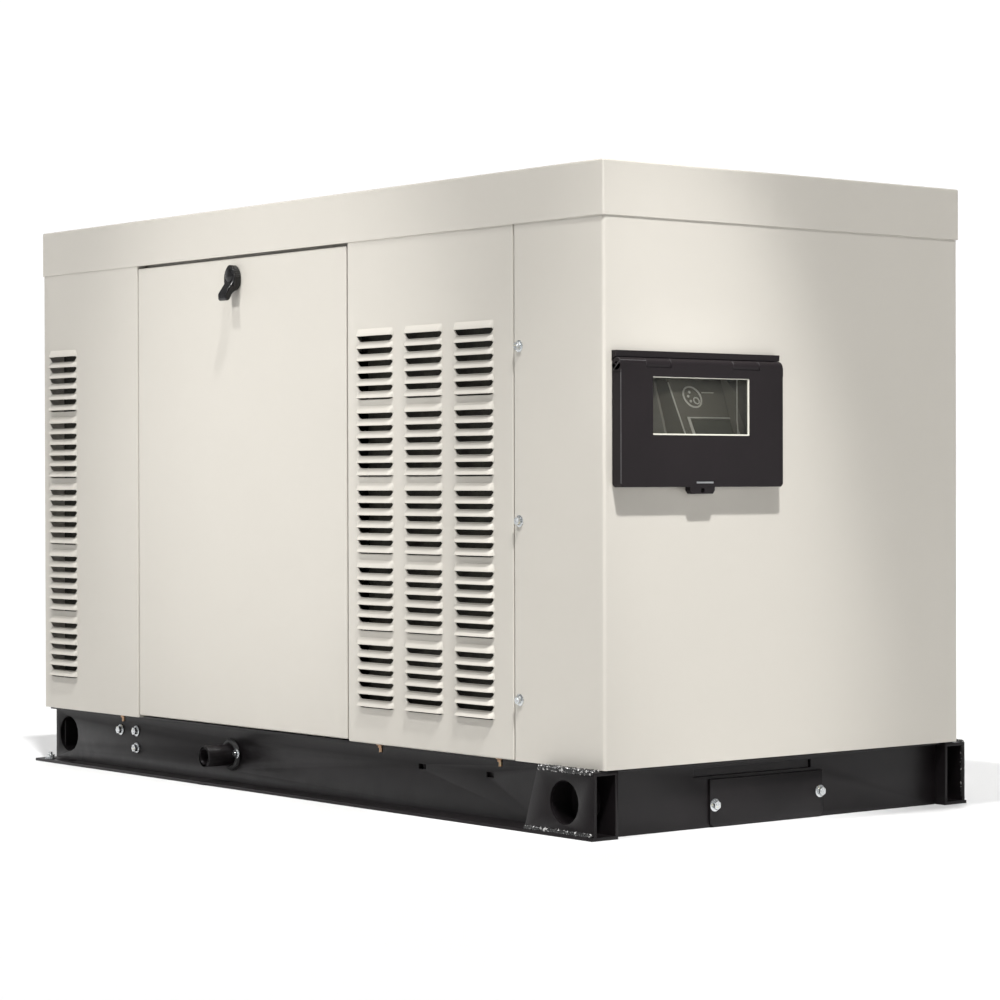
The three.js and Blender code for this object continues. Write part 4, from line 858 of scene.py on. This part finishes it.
def build_roof(m):
    """A shallow pan turned over, with rounded folds and a small hem turned in below."""
    low, high = extent("roof")
    hem_in, near = 2.2, 4
    pan = cube(low, high)
    pan.faces.remove(min(pan.faces, key=lambda f: f.calc_center_median().z))
    round_edges(pan, [e for e in pan.edges if not e.is_boundary], 3.2, 4)
    roof = Shape().take(pan)
    hem = border_edges(roof, lambda p: True)
    for v in extruded(roof.mesh, hem):
        if abs(abs(v.co.x) - high.x) < near:
            v.co.x -= math.copysign(hem_in, v.co.x)
        if abs(abs(v.co.y) - high.y) < near:
            v.co.y -= math.copysign(hem_in, v.co.y)
    bmesh.ops.recalc_face_normals(roof.mesh, faces=roof.mesh.faces)
    round_edges(roof.mesh, [e for e in hem if e.is_valid], 0.8)
    emit_sheet(roof, "roof_shell", "unit", "roof", m)


def build_front_and_rear(m):
    """The louvre panels and the doors. The rear ones mirror the front ones."""
    panel = front_tray(*extent("front_louver_panel"), SIDE_COLUMNS)
    door = front_tray(*extent("front_door"), [], DOOR_EASE)
    for side, one, two in (("rear", panel.mirrored(), door.mirrored()), ("front", panel, door)):
        emit_sheet(one, f"{side}_louver_sheet", "unit", f"{side}_louver_panel", m)
        emit_sheet(two, f"{side}_door_sheet", f"{side}_door", f"{side}_door", m)


def build_end_covers(m):
    """The control end with its opening, and the radiator end with louvres and discharge slots."""
    low, high = extent("control_end_cover")

    def no_sides(start, way):
        return []

    def control_end(start, across):
        base = start + high.y - CORNER_RADIUS
        us = [CONTROL_OPENING["y0"] + base, CONTROL_OPENING["y1"] + base]
        return [window_patch(us, low.z, high.z, CONTROL_OPENING["z0"], CONTROL_OPENING["z1"])]

    def radiator_sides(start, way):
        column = start + way * abs(RADIATOR_COLUMN - RADIATOR_SEAM)
        return [louvre_patch(column, LOUVRE_TOP, low.z, high.z)]

    def radiator_end(start, across):
        return [slot_patch(start, low.z, high.z, across)]

    control = wrap_cover(low.x, high.x, no_sides, control_end)
    emit_sheet(control, "control_end_sheet", "unit", "control_end_cover", m)
    radiator = wrap_cover(RADIATOR_SEAM, -high.x, radiator_sides, radiator_end)
    emit_sheet(radiator, "radiator_end_sheet", "unit", "radiator_end_cover", m)


# ---------------------------------------------------------------- fasteners and welds


def hexagon(centre, radius, turn=0.0):
    return around(centre, radius, 6, turn)


def add_screw(shape, axis, spot, out, size=5.5, turn=0.3):
    """A flanged hex screw whose seat is at the spot and whose head stands out along the axis."""
    index = "xyz".index(axis)
    seat = spot[index]
    centre = [c for i, c in enumerate(spot) if i != index]
    wide, shoulder = size * 1.35, seat + out * 1.5
    collar = [(seat - out * 0.6, wide), (seat + out * 0.7, wide), (shoulder, size * 1.05), (shoulder, 0)]
    shape.lathe(axis, centre, collar, 24)
    low, high = sorted((seat + out * 1.0, seat + out * size * 0.95))
    shape.prism(axis, hexagon(centre, size, turn), low, high, 0.5, 2)
    crown = seat + out * size
    shape.lathe(axis, centre, [(seat + out * size * 0.9, size * 0.55), (crown, size * 0.5), (crown, 0)], 20)


def add_bead(shape, start, end, radius, seed):
    """A weld bead with ripples of uneven width."""
    chance = random.Random(seed)
    start, end = Vector(start), Vector(end)
    count = max(6, round((end - start).length / 1.6))
    points = [start.lerp(end, i / count) for i in range(count + 1)]
    swell = [0.78 + 0.3 * abs(math.sin(i * 1.05)) + chance.uniform(-0.1, 0.12) for i in range(count + 1)]
    swell[0] = swell[-1] = 0.35
    shape.tube(points, lambda i: radius * swell[i], 10)


SCREW_X = 598
SCREW_HEIGHTS = (708, 451.5, 189)
WEB_BOLTS = [(-558, 69), (-505, 70), (-505, 40)]
HANGING_SCREWS = (-532, 238, 538)
STUB_BOLTS = ((-136.7, 33), (80.2, 39))
PIPE_BOLT = (-176, -WEB_FACE - 6, 54)
ANCHOR = (-755, 375, 5.4)


def build_fasteners(m):
    """Hex screws in the covers, rails and stub-up plate, and studs at the anchor holes."""
    panel_y = extent("control_end_cover")[1].y
    zinc, brass = Shape(), Shape()
    for side in (-1, 1):
        for i, z in enumerate(SCREW_HEIGHTS):
            add_screw(zinc, "y", (SCREW_X, side * panel_y, z), side, 6.5, 0.2 + i * 0.4)
        for x, z in WEB_BOLTS:
            add_screw(zinc, "y", (x, side * WEB_FACE, z), side, 7, 0.1)
        for x in HANGING_SCREWS:
            add_screw(brass, "z", (x, side * 355, 98.4), -1, 5.5, 0.4)
            brass.lathe("z", (x, side * 355), [(93, 3), (86.5, 3), (86, 2.4), (86, 0)], 16)
    for y, z in STUB_BOLTS:
        add_screw(zinc, "x", (extent("stub_up_cover")[1].x, y, z), 1, 7, 0.5)
    add_screw(zinc, "y", PIPE_BOLT, -1, 6, 0.1)
    x, reach, seat = ANCHOR
    for y in (-reach, reach):
        add_screw(zinc, "z", (x, y, seat), 1, 7.5, 0.2)
        zinc.lathe("z", (x, y), [(11, 3.6), (16.5, 3.6), (17.2, 2.8), (17.2, 0)], 16)
    zinc.emit("zinc_screws", "unit", m["zinc"])
    brass.emit("yellow_screws", "unit", m["brass"])


def build_welds(m):
    """Beads round the lifting boxes at the control end."""
    welds = Shape()
    x0, x1, foot = 662, 784, 632
    for side in (-1, 1):
        face = side * LIFT_FACE
        add_bead(welds, (x0, face - side * 2, 96.4), (x1, face - side * 1, 96.4), 4.2, 3 + side)
        add_bead(welds, (x0 - 4, side * 369, 96.2), (x1 - 6, side * 369, 96.2), 3.6, 8 + side)
        add_bead(welds, (foot, face + side * 1, 7.5), (x1, face + side * 1, 7.5), 3.4, 12 + side)
        inner = face - side * 3
        add_bead(welds, (x1 - 1.5, inner, 92), (x1 - 1.5, inner, 10), 2.6, 16 + side)
    welds.emit("weld_beads", "unit", m["weld"])


def build_sleeves(m):
    """Short tubes behind the lifting holes, a plate behind the stub-up slot, and dark sheets of painted
    shade behind the louvres.
    """
    sleeves, shade_sheets = Shape(), Shape()
    height, radius = 50, 32
    inner = WEB_FACE - 42
    for x, outer in ((RAIL_END - 66, LIFT_FACE - 4), (46 - RAIL_END, WEB_FACE - 4)):
        for side in (-1, 1):
            wall = [(side * outer, radius - 0.2), (side * outer, radius + 1.6), (side * inner, radius + 1.6)]
            wall += [(side * inner, radius - 0.2), (side * outer, radius - 0.2)]
            sleeves.lathe("y", (x, height), wall, 40)
    plate_x = extent("stub_up_cover")[0].x - 5
    sleeves.block((plate_x, -174, 74), (plate_x + 1.6, 62, 90), 0.5)
    # Dark olive sheets behind the louvre columns: painted shade for the dark inside.
    for side in (-1, 1):
        low, high = sorted((side * 333, side * 341))
        shade_sheets.block((186, low, 114), (560, high, 850), 2.5)
        shade_sheets.block((-762, low, 114), (-640, high, 800), 2.5)
    sleeves.emit("lifting_sleeves", "unit", m["black"])
    shade_sheets.emit("louver_shade_sheets", "unit", m["foam"])


# ---------------------------------------------------------------- latch and lid


def build_latches(m):
    """A tall rounded hub, a paddle that leans out from its foot, a square shaft and the cam."""
    low, high = extent("front_latch")
    face = extent("front_door")[0].y
    x, z = low.x + 18, high.z - 18
    latch = Shape()
    outline = arc((x, z - 8), 16.5, 180, 360, 12) + arc((x - 9, z - 4), 25.5, 4, 62, 8)
    outline += arc((x + 9, z - 4), 25.5, 118, 176, 8)
    latch.prism("y", outline, face - 13.5, face - 0.6, 4.2, 4)
    crown = [(face - 11, 12), (face - 14.4, 10.6), (face - 15.6, 7.5), (face - 15.6, 0)]
    latch.lathe("y", (x, z + 1), crown, 28)
    paddle = [
        (face - out, z - down)
        for out, down in (
            (8, 6), (13, 8), (21, 19), (28.6, 30), (28.4, 39), (25, 42), (20, 40), (15, 30), (8, 24), (4, 22)
        )
    ]
    latch.prism("x", paddle, x - 12, x + 12, 2.6, 3)
    for side in (-1, 1):
        latch.tube([(x + side * 9.5, face - 14, z - 11), (x + side * 9.5, face - 27, z - 31)], 1.3, 8)
    latch.block((x - 7, face - 1, z - 7), (x + 7, face + 26, z + 7), 0.8)
    latch.block((x - 11, face + 23.8, z - 8), (high.x, face + 27.0, z + 8), 0.7)
    latch.prism("y", hexagon((x, z), 8.5), face + 26.9, face + 32, 0.6)
    rear = latch.mirrored()
    latch.emit("front_latch_lever", "front_latch", m["gloss_black"], ["front_latch"], "latch_plastic")
    rear.emit("rear_latch_lever", "rear_latch", m["gloss_black"], ["rear_latch"], "latch_plastic")


LID_DROP = 2.0  # the visible lid's lower edge, below the CAD's
KNUCKLES = [(-303, -256), (-133, -81.5)]
KNUCKLE_GAP = 0.6
BARREL = {"bore": 3.4, "end": 8.8, "side": 9.6, "lug_side": 9.5}
WINDOW = {"y0": -291, "y1": -101.5, "z0": 575.5, "z1": 659}


def hinge_axis():
    """X and Z of the lid's hinge pin."""
    low, high = extent("control_cover")
    return (low.x + high.x) / 2, high.z - (high.x - low.x) / 2


def lid_box():
    low, high = extent("control_cover")
    low.z -= LID_DROP
    return low, high


def lid_top():
    """Where the lid's flat skin ends, under the hinge barrel."""
    low, high = lid_box()
    return hinge_axis()[1] - (high.x - low.x) / 2 - 0.3


def build_lid(m):
    """The lid's skin, hollow behind, with the window's opening and a slit over the hasp."""
    low, high = lid_box()
    tab_low, tab_high = extent("cover_hasp")
    back, front, top = low.x, high.x, lid_top()
    corner = 4
    outline = [(low.y, top), (low.y, low.z + corner), (low.y + corner, low.z), (high.y - corner, low.z)]
    outline += [(high.y, low.z + corner), (high.y, top)]
    lid = Shape().prism("x", outline, back, front, 1.4, 3)

    def hollow(tool):
        # The slit over the hasp, which holds the steel strip of painted highlight.
        tool.block((front - 1.0, tab_low.y + 12, low.z + 4.8), (front + 3, tab_high.y - 3, low.z + 8.4), 0)
        tool.block((back - 5, low.y + 3, low.z + 3), (front - 3, high.y - 3, top - 2), 1)
        tool.block((back, WINDOW["y0"], WINDOW["z0"]), (front + 5, WINDOW["y1"], WINDOW["z1"]), 1.2)
        tool.block((back - 5, -199, low.z - 5), (front - 3, -190, low.z + 5), 0)

    tools = [cutter(hollow)]
    lid.emit("control_lid_shell", "control_lid", m["lid"], ["control_cover"], "lid_plastic", cutters=tools)


def build_hinge_strip(m):
    """The fixed strip over the hinge, hollow below where the lid's barrel turns."""
    low, high = lid_box()
    hinge_x, hinge_z = hinge_axis()
    back = low.x
    outline = [(back - 0.5, hinge_z + 4.4)] + arc((hinge_x, hinge_z), 10.5, 157, 90, 6)
    outline += [(hinge_x + 0.6, high.z + 9.7), (back - 0.5, high.z + 9.7)]
    strip = Shape().prism("y", outline, low.y, high.y + 1.5, 0.5, 2)
    for y0, y1 in KNUCKLES:
        for y in (y0 - 1, y1 + 1):
            strip.block((hinge_x - 2, y - 0.8, high.z + 1.6), (hinge_x, y + 0.8, high.z + 9.2), 0.3)
    strip.emit("hinge_strip", "unit", m["lid"])


def barrel_profile(y0, y1, side):
    """A knuckle with softened ends round a bore, as a closed profile to turn."""
    bore, end = BARREL["bore"], BARREL["end"]
    return [(y0, bore), (y0, end), (y0 + 0.8, side), (y1 - 0.8, side), (y1, end), (y1, bore), (y0, bore)]


def build_lid_edges(m):
    """The barrel between the lugs, the skin under them, and pale lines that paint highlights on the lid's
    edges.
    """
    low, high = lid_box()
    hinge_x, hinge_z = hinge_axis()
    back, front, top = low.x, high.x, lid_top()
    edges = Shape()
    starts = [low.y] + [y1 + KNUCKLE_GAP for _, y1 in KNUCKLES]
    ends = [y0 - KNUCKLE_GAP for y0, _ in KNUCKLES] + [high.y]
    for y0, y1 in zip(starts, ends):
        edges.lathe("y", (hinge_x, hinge_z), barrel_profile(y0, y1, BARREL["side"]), 28)
        edges.block((back + 0.4, y0, top - 3), (front - 0.05, y1, hinge_z + 0.5), 0.5)
    for y0, y1 in KNUCKLES:
        edges.block((front - 1.4, y0 - 0.7, top - 1), (front - 0.05, y1 + 0.7, hinge_z - 4.5), 0.3)
    # Thin pale tubes on the lid's left edges and along its top: painted highlights.
    shines = Shape()
    shines.tube([(front - 0.5, low.y + 0.6, z) for z in (low.z + 5, hinge_z - 8)], 0.5, 8)
    shines.tube([(back + 3, low.y + 0.3, hinge_z - 9), (front - 2, low.y + 0.3, hinge_z + 4)], 0.45, 8)
    shines.tube([(front - 1.5, y, hinge_z + 5.2) for y in (low.y + 1, KNUCKLES[0][0])], 0.4, 8)
    shines.emit("lid_shines", "control_lid", m["lid_edge"])
    for y0, y1 in KNUCKLES:
        for y in (y0 - 2, y1 + 2):
            edges.block((front - 1.6, y - 0.9, hinge_z + 0.2), (front - 0.1, y + 0.9, hinge_z + 2.6), 0.3)
    edges.emit("control_lid_edges", "control_lid", m["lid"])


def build_window_highlight_strips(m):
    """Four pale strips round the window, of uneven width: painted highlights where the window's edges catch
    the light.
    """
    front = lid_box()[1].x
    y0, y1, z0, z1 = (WINDOW[key] for key in ("y0", "y1", "z0", "z1"))
    rim, thin, lap, back = 2.2, 1.32, 0.4, front - 3.6
    highlight_strips = Shape()
    highlight_strips.block((back, y0 - lap, z0 - lap), (front - 1.0, y1 + lap, z0 + rim), 0.5)
    highlight_strips.block((back, y0 - lap, z1 - thin), (front - 1.4, y1 + lap, z1 + lap), 0.4)
    highlight_strips.block((back, y0 - lap, z0), (front - 1.4, y0 + thin, z1), 0.4)
    highlight_strips.block((back, y1 - rim, z0), (front - 0.8, y1 + lap, z1), 0.5)
    highlight_strips.emit("window_painted_highlights", "control_lid", m["pale"])


def build_hasp(m):
    """The tab under the lid with its padlock hole, and a bright steel strip in the slit over it that paints
    a highlight there.
    """
    low, high = lid_box()
    tab_low, tab_high = extent("cover_hasp")
    y0, y1, root, corner = tab_low.y, tab_high.y, low.z + 2, 4
    outline = [(y0, root), (y0, tab_low.z + 5), (y0 + corner, tab_low.z), (y1 - corner, tab_low.z)]
    outline += [(y1, tab_low.z + 5), (y1, root)]
    hasp = Shape().prism("x", outline, tab_low.x, tab_high.x - 0.6, 1.1, 3)

    def keyhole(tool):
        centre = ((y0 + y1) / 2, (tab_low.z + low.z) / 2)
        tool.lathe("x", centre, [(low.x - 20, 3.6), (high.x + 20, 3.6)], 24)

    tools = [cutter(keyhole)]
    hasp.emit("control_lid_hasp", "control_lid", m["lid"], ["cover_hasp"], "lid_plastic", cutters=tools)
    # A bright steel strip set in the slit: a painted highlight along it.
    slot_shine = Shape()
    slot_shine.block((high.x - 1.2, y0 + 12.4, low.z + 5.2), (high.x - 0.3, y1 - 3.4, low.z + 8.0), 0.4)
    slot_shine.emit("hasp_slot_highlight", "control_lid", m["steel"])


def build_lugs(m):
    """The fixed hinge lugs, each with a foot that reaches the cover."""
    hinge_x, hinge_z = hinge_axis()
    back = lid_box()[0].x
    lugs = Shape()
    for y0, y1 in KNUCKLES:
        lugs.lathe("y", (hinge_x, hinge_z), barrel_profile(y0, y1, BARREL["lug_side"]), 28)
        lugs.block((back - 2.3, y0 - 0.1, hinge_z - 7), (hinge_x, y1 + 0.1, hinge_z - 3.4), 0.5)
    lugs.emit("hinge_lugs", "unit", m["lid"])


# ---------------------------------------------------------------- console

CONSOLE_EASE = 31  # the visible console's left side, in from the CAD's
SLOPE_FOOT_Z = 530
SLOPE_TOP_X = 700
TRAY = (36, 79)  # the display's tray, from and to up the slope
TRAY_RIM = 7
RING = (-134, 116)
RIB_Y = -73


class Slope:
    """Places on the console's sloping face: y across, s up the slope and d out of it."""

    def __init__(self):
        high = extent("control_console")[1]
        self.foot = Vector((high.x, 0, SLOPE_FOOT_Z))
        self.rise = high.z - SLOPE_FOOT_Z
        lean = math.atan2(high.x - SLOPE_TOP_X, self.rise)
        self.up = Vector((-math.sin(lean), 0, math.cos(lean)))
        self.out = Vector((math.cos(lean), 0, math.sin(lean)))

    def spot(self, y, s, d=0.0):
        return self.foot + Vector((0, y, 0)) + self.up * s + self.out * d

    def strip(self, low, high, proud):
        """An outline in X and Z that stands on the slope, from low to high up it."""
        corners = [self.spot(0, s, d) for s, d in ((low, -1), (low, proud), (high, proud), (high, -1))]
        return [(corner.x, corner.z) for corner in corners]


def build_console(m):
    """The console's body with a tray round the display, and a thin wall beside it in a lighter grey, painted
    light on that side.
    """
    low, high = extent("control_console")
    screen_low, screen_high = extent("display_screen")
    slope = Slope()
    y0, y1 = screen_low.y - 1, screen_high.y + 1
    s0, s1 = TRAY
    left, back, foot = low.y + CONSOLE_EASE, low.x, high.x
    side = [(back, low.z), (foot, low.z), (foot, SLOPE_FOOT_Z), (SLOPE_TOP_X, high.z), (back, high.z)]
    shell = Shape().prism("y", side, left, high.y, 1.6, 3)
    for low_s, high_s in ((s0 - TRAY_RIM, s0), (s1, s1 + TRAY_RIM * 0.5)):
        shell.prism("y", slope.strip(low_s, high_s, 2.4), y0 - TRAY_RIM, y1 + TRAY_RIM, 0.7)
    for low_y, high_y in ((y0 - TRAY_RIM, y0), (y1, y1 + TRAY_RIM)):
        shell.prism("y", slope.strip(s0 - 1, s1 + 1, 2.4), low_y, high_y, 0.7)
    shell.emit("console_shell", "unit", m["grey"], ["control_console"], "box_plastic")
    # A thin wall in the lighter grey: painted light on the console's left side.
    lit_side_outline = [(645, 516), (722, 516), (709, 575), (681, 660), (677, 670), (645, 670)]
    Shape().prism("y", lit_side_outline, left - 4, left + 1, 1).emit("console_lit_side", "unit", m["side_grey"])


def add_ring(trim, slope):
    """A plain ring with a smaller one and three dots inside, and a short line beside it."""
    ring_y, ring_s = RING
    for radius, thick, shift in ((17, 1.4, 0), (5.2, 1.0, 6)):
        places = around((ring_y + shift, ring_s - shift), radius, 36)
        trim.tube([slope.spot(y, s, 0.5) for y, s in places], thick, 8, closed=True)
    for shift, rise_by in ((-3, 8), (-8, 1), (-6, -7)):
        y, s = ring_y + shift, ring_s + rise_by
        trim.tube([slope.spot(y, s, 0.3), slope.spot(y, s, 1.4)], 2.1, 10)
    trim.tube([slope.spot(ring_y + 22, ring_s + 8, 0.3), slope.spot(ring_y + 46, ring_s + 8, 0.3)], 0.7, 8)


def build_console_print_and_highlights(m):
    """Pale marks on the console: the printed ring, the tray's edges, and painted highlight lines down the
    left edge and the rib.
    """
    slope = Slope()
    screen_low, screen_high = extent("display_screen")
    y0, y1 = screen_low.y - 1, screen_high.y + 1
    s0, s1 = TRAY
    left = extent("control_console")[0].y + CONSOLE_EASE
    trim = Shape()
    add_ring(trim, slope)
    for low_s, high_s, low_y, high_y in (
        (s0 - 6, s0 - 0.6, y0 - 6, y1 + 6), (s1 + 0.6, s1 + 2.4, y0 - 6, y1 + 6),
        (s0 - 6, s1 + 2, y0 - 6, y0 - 1), (s0 - 6, s1 + 2, y1 + 1, y1 + 6),
    ):
        trim.prism("y", slope.strip(low_s, high_s, 3.2), low_y, high_y, 0.5)
    # A pale line down the console's left edge: a painted highlight.
    trim.tube([slope.spot(left + 1.2, 2, 0.4), slope.spot(left + 1.2, slope.rise - 2, 0.4)], 1.1, 8)
    foot_x, head_x = slope.spot(0, 46).x, slope.spot(0, 128).x
    rib = [(foot_x, 571), (foot_x + 1, 640), (head_x + 6, 668), (head_x, 668), (foot_x - 3, 571)]
    Shape().prism("y", rib, RIB_Y - 1.5, RIB_Y + 1, 0.6).emit("console_rib", "unit", m["grey"])
    # A pale line down the rib, curving at its foot: a painted highlight.
    path = [(foot_x + 1, RIB_Y, 666), (foot_x + 1, RIB_Y, 600), (foot_x + 2, RIB_Y + 1, 585)]
    path += [(foot_x + 5, RIB_Y + 5, 575), (foot_x + 9, RIB_Y + 13, 568)]
    trim.tube(path, 0.9, 8)
    trim.emit("console_print_and_highlights", "unit", m["pale"])


def build_pipe(m):
    """The fuel inlet's threaded end, and the grommet where it passes the rail."""
    low, high = extent("fuel_inlet_pipe")
    axis = ((low.x + high.x) / 2, 50)
    mouth, back, thread_pitch, thread_length = low.y, -290, 1.8, 24
    profile = [(mouth, 13), (mouth, 17), (mouth + 1.5, 18)]
    along = mouth + 1.5
    while along < mouth + thread_length:
        profile += [(along + thread_pitch / 2, 17.1), (along + thread_pitch, 18)]
        along += thread_pitch
    profile += [(mouth + 27, 18), (mouth + 27, 16.6), (back, 16.6), (back, 13), (mouth, 13)]
    Shape().lathe("y", axis, profile, 36).emit("fuel_pipe_mouth", "unit", m["black"])
    lip = [(0, 18.4), (-4, 18.8), (-5, 21), (-3.4, 25), (0, 27), (0, 18.4)]
    ring = [(-WEB_FACE + out, radius) for out, radius in lip]
    Shape().lathe("y", axis, ring, 36).emit("fuel_pipe_grommet", "unit", m["rubber"])


# ---------------------------------------------------------------- engine bay

CRANK_Z = 300
MUFFLER_Z = 632
CHARGER_AXIS = (190, 420)
BLOCK_SIDE = 110


def smooth_path(points, rounds=3):
    """Cuts the corners of a path a few times, keeping its ends."""
    path = [Vector(p) for p in points]
    for _ in range(rounds):
        cut = [path[0]]
        for one, two in zip(path, path[1:]):
            cut += [one.lerp(two, 0.25), one.lerp(two, 0.75)]
        path = cut + [path[-1]]
    return path


def add_band(shape, x, centre, radius, width, proud):
    """A flat band round an axis along X, with rounded edges."""
    inner, edge, outer = radius - 1, radius + proud * 0.7, radius + proud
    profile = [(x, inner), (x, edge), (x + width * 0.1, outer), (x + width * 0.9, outer)]
    profile += [(x + width, edge), (x + width, inner), (x, inner)]
    shape.lathe("x", centre, profile, 48)


def spread(low, high, margin, count):
    """Even places between two ends, each kept a margin away."""
    return [low + margin + i * (high - low - 2 * margin) / (count - 1) for i in range(count)]


def add_valve_cover(zinc, dark, wires):
    """Ribs, bolts and the filler cap on the valve cover, and the coil with its four leads."""
    low, high = extent("valve_cover")
    top = high.z
    for i, x in enumerate(spread(low.x, high.x, 40, 5)):
        for y in (-44, 44):
            add_screw(zinc, "z", (x, y, top), 1, 6, 0.3 * i)
        dark.block((x - 3, -38, top - 1), (x + 3, 38, top + 3.5), 1.4)
    cap = [(top - 1, 24), (top + 6, 24), (top + 7, 21), (top + 18, 20), (top + 20, 18), (top + 20, 0)]
    dark.lathe("z", (high.x - 62, 0), cap, 28)
    dark.block((high.x - 78, -4, top + 18), (high.x - 46, 4, top + 26), 2)
    coil_low, coil_high = Vector((-372, -27, top + 2)), Vector((-284, 27, top + 30))
    dark.block(coil_low, coil_high, 4, 3)
    for i in range(4):
        plug, tower = -430 + i * 70, coil_low.x + 14 + i * 20
        crown = coil_high.z
        dark.lathe("z", (tower, -14), [(crown - 2, 6.5), (crown + 9, 5.6), (crown + 9, 0)], 20)
        points = [(tower, -14, crown + 6), (tower, -20, crown + 20)]
        points += [((tower + plug) / 2, -52, crown + 12), (plug, -86, crown - 24), (plug, -92, 603)]
        wires.tube(smooth_path(points), 3.6, 10)
        wires.lathe("z", (plug, -92), [(600, 0), (600, 8.5), (622, 8), (630, 5.5), (632, 0)], 20)


def add_block_sides(zinc, cast):
    """Core plugs, cast ribs and two rows of bolts on each side of the engine block."""
    front = extent("engine_block")[0].x
    for side in (-1, 1):
        face = side * BLOCK_SIDE
        plug = [(face - side, 19), (face + side * 1.6, 19), (face + side * 1.6, 15)]
        plug += [(face + side * 0.4, 14), (face + side * 0.4, 0)]
        for i in range(3):
            cast.lathe("y", (front + 90 + i * 90, 415), plug, 32)
        low, high = sorted((face - side * 2, face + side * 3.4))
        for i in range(9):
            x = front + 34 + i * 36
            if not 3 <= i <= 4 or side > 0:
                cast.block((x - 2.6, low, 346), (x + 2.6, high, 384), 1.3)
            add_screw(zinc, "y", (x, face, 258), side, 4.6, 0.2 * i)
            add_screw(zinc, "y", (x, face, 512), side, 4.2, 0.5 + 0.2 * i)


def add_bands(zinc, cast):
    """The flywheel housing's bolt ring, and bands on the stator, charger and muffler."""
    for y, z in around((0, CRANK_Z), 181, 14, 0.22):
        add_screw(zinc, "x", (extent("flywheel_housing")[1].x, y, z), 1, 5.6, y)
    for x in (-20, 292):
        add_band(cast, x, (0, CRANK_Z), 170, 18, 2.2)
    for i in range(6):
        add_band(cast, -476 + i * 16, CHARGER_AXIS, 60, 5, 3)
    for x in (8, 344):
        add_band(zinc, x, (0, MUFFLER_Z), 82, 20, 1.8)
    for x in (-26, 372):
        add_band(cast, x, (0, MUFFLER_Z), 82, 5, 3.5)


def add_fuel_and_cooling(zinc):
    """The regulator's ring of screws and the radiator's filler cap."""
    low, high = extent("fuel_regulator")
    for x, z in around(((low.x + high.x) / 2, 172), 45, 8, 0.39):
        add_screw(zinc, "y", (x, -299, z), -1, 4.4, x)
    top = extent("radiator")[1].z
    filler = [(top - 1, 20), (top + 8, 20), (top + 9, 27), (top + 17, 27), (top + 19, 24), (top + 19, 0)]
    zinc.lathe("z", (-665, -190), filler, 32)


def add_battery(dark):
    """The battery's six cell caps and the ledge of its lid."""
    low, high = extent("battery")
    top = high.z - 14
    for x in spread(low.x, high.x, 40, 6):
        dark.lathe("z", (x, -205), [(top - 1, 11), (top + 4, 11), (top + 5, 9.5), (top + 5, 0)], 24)
    dark.block((low.x + 1, low.y + 1, top - 26), (high.x - 1, high.y - 1, top - 20), 2)


def build_engine_details(m):
    """Small parts in the engine bay, gathered by finish."""
    zinc, cast, dark, wires = Shape(), Shape(), Shape(), Shape()
    add_valve_cover(zinc, dark, wires)
    add_block_sides(zinc, cast)
    add_bands(zinc, cast)
    add_fuel_and_cooling(zinc)
    add_battery(dark)
    zinc.emit("engine_bolts", "unit", m["zinc"])
    cast.emit("engine_castings", "unit", m["frame_grey"])
    dark.emit("engine_mouldings", "unit", m["dark_plastic"])
    wires.emit("plug_leads", "unit", m["rubber"])


# ---------------------------------------------------------------- the CAD's own nodes

NODE_FINISH = {
    "black": "front_rail rear_rail control_end_crossmember radiator_end_crossmember engine_crossmember "
    "alternator_crossmember stub_up_cover battery_tray fuel_inlet_pipe",
    "powder": "front_header rear_header",
    "grey": "control_box",
    "window": "cover_window",
    "screen": "display_screen",
    "green": "auto_button",
    "red": "off_button",
    "blue": "manual_button",
    "dark_plastic": "circuit_breaker breaker_toggle battery air_cleaner cooling_fan fan_shroud",
    "steel": "cover_hinge_pin crankshaft charge_pulley alternator_rotor",
    "frame_grey": "alternator_stator",
    "aluminised": "muffler",
    "iron": "engine_block exhaust_manifold",
    "cast": "cylinder_head flywheel_housing intake_manifold charge_alternator",
    "core": "radiator",
    "enamel": "valve_cover oil_pan starter_motor oil_filter",
    "rubber": "fan_belt upper_hose lower_hose engine_mount_front engine_mount_rear alternator_mount_front "
    "alternator_mount_rear",
    "zinc": "fuel_regulator",
}


def refine(node, material, bevel=0.8):
    """Rounds a CAD node's edges with modifiers and gives it its finish."""
    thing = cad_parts[node]
    thing.data.materials.clear()
    thing.data.materials.append(material)
    weld = thing.modifiers.new("weld", "WELD")
    weld.merge_threshold = 2e-5
    flat = thing.modifiers.new("flat", "DECIMATE")
    flat.decimate_type = "DISSOLVE"
    flat.angle_limit = math.radians(1)
    round_off = thing.modifiers.new("round", "BEVEL")
    round_off.width = bevel * MM
    round_off.segments = 2
    round_off.limit_method = "ANGLE"
    round_off.angle_limit = math.radians(40)
    round_off.harden_normals = True
    thing.data.shade_smooth()


# ---------------------------------------------------------------- run

make_camera()
make_stage()
MATERIALS = make_materials()
for build in (
    build_roof, build_front_and_rear, build_end_covers, build_fasteners, build_welds, build_sleeves,
    build_latches, build_lid, build_hinge_strip, build_lid_edges, build_window_highlight_strips, build_hasp, build_lugs,
    build_console, build_console_print_and_highlights, build_pipe, build_engine_details,
):
    build(MATERIALS)
drop_tools()
for finish, names in NODE_FINISH.items():
    for node in names.split():
        refine(node, MATERIALS[finish])
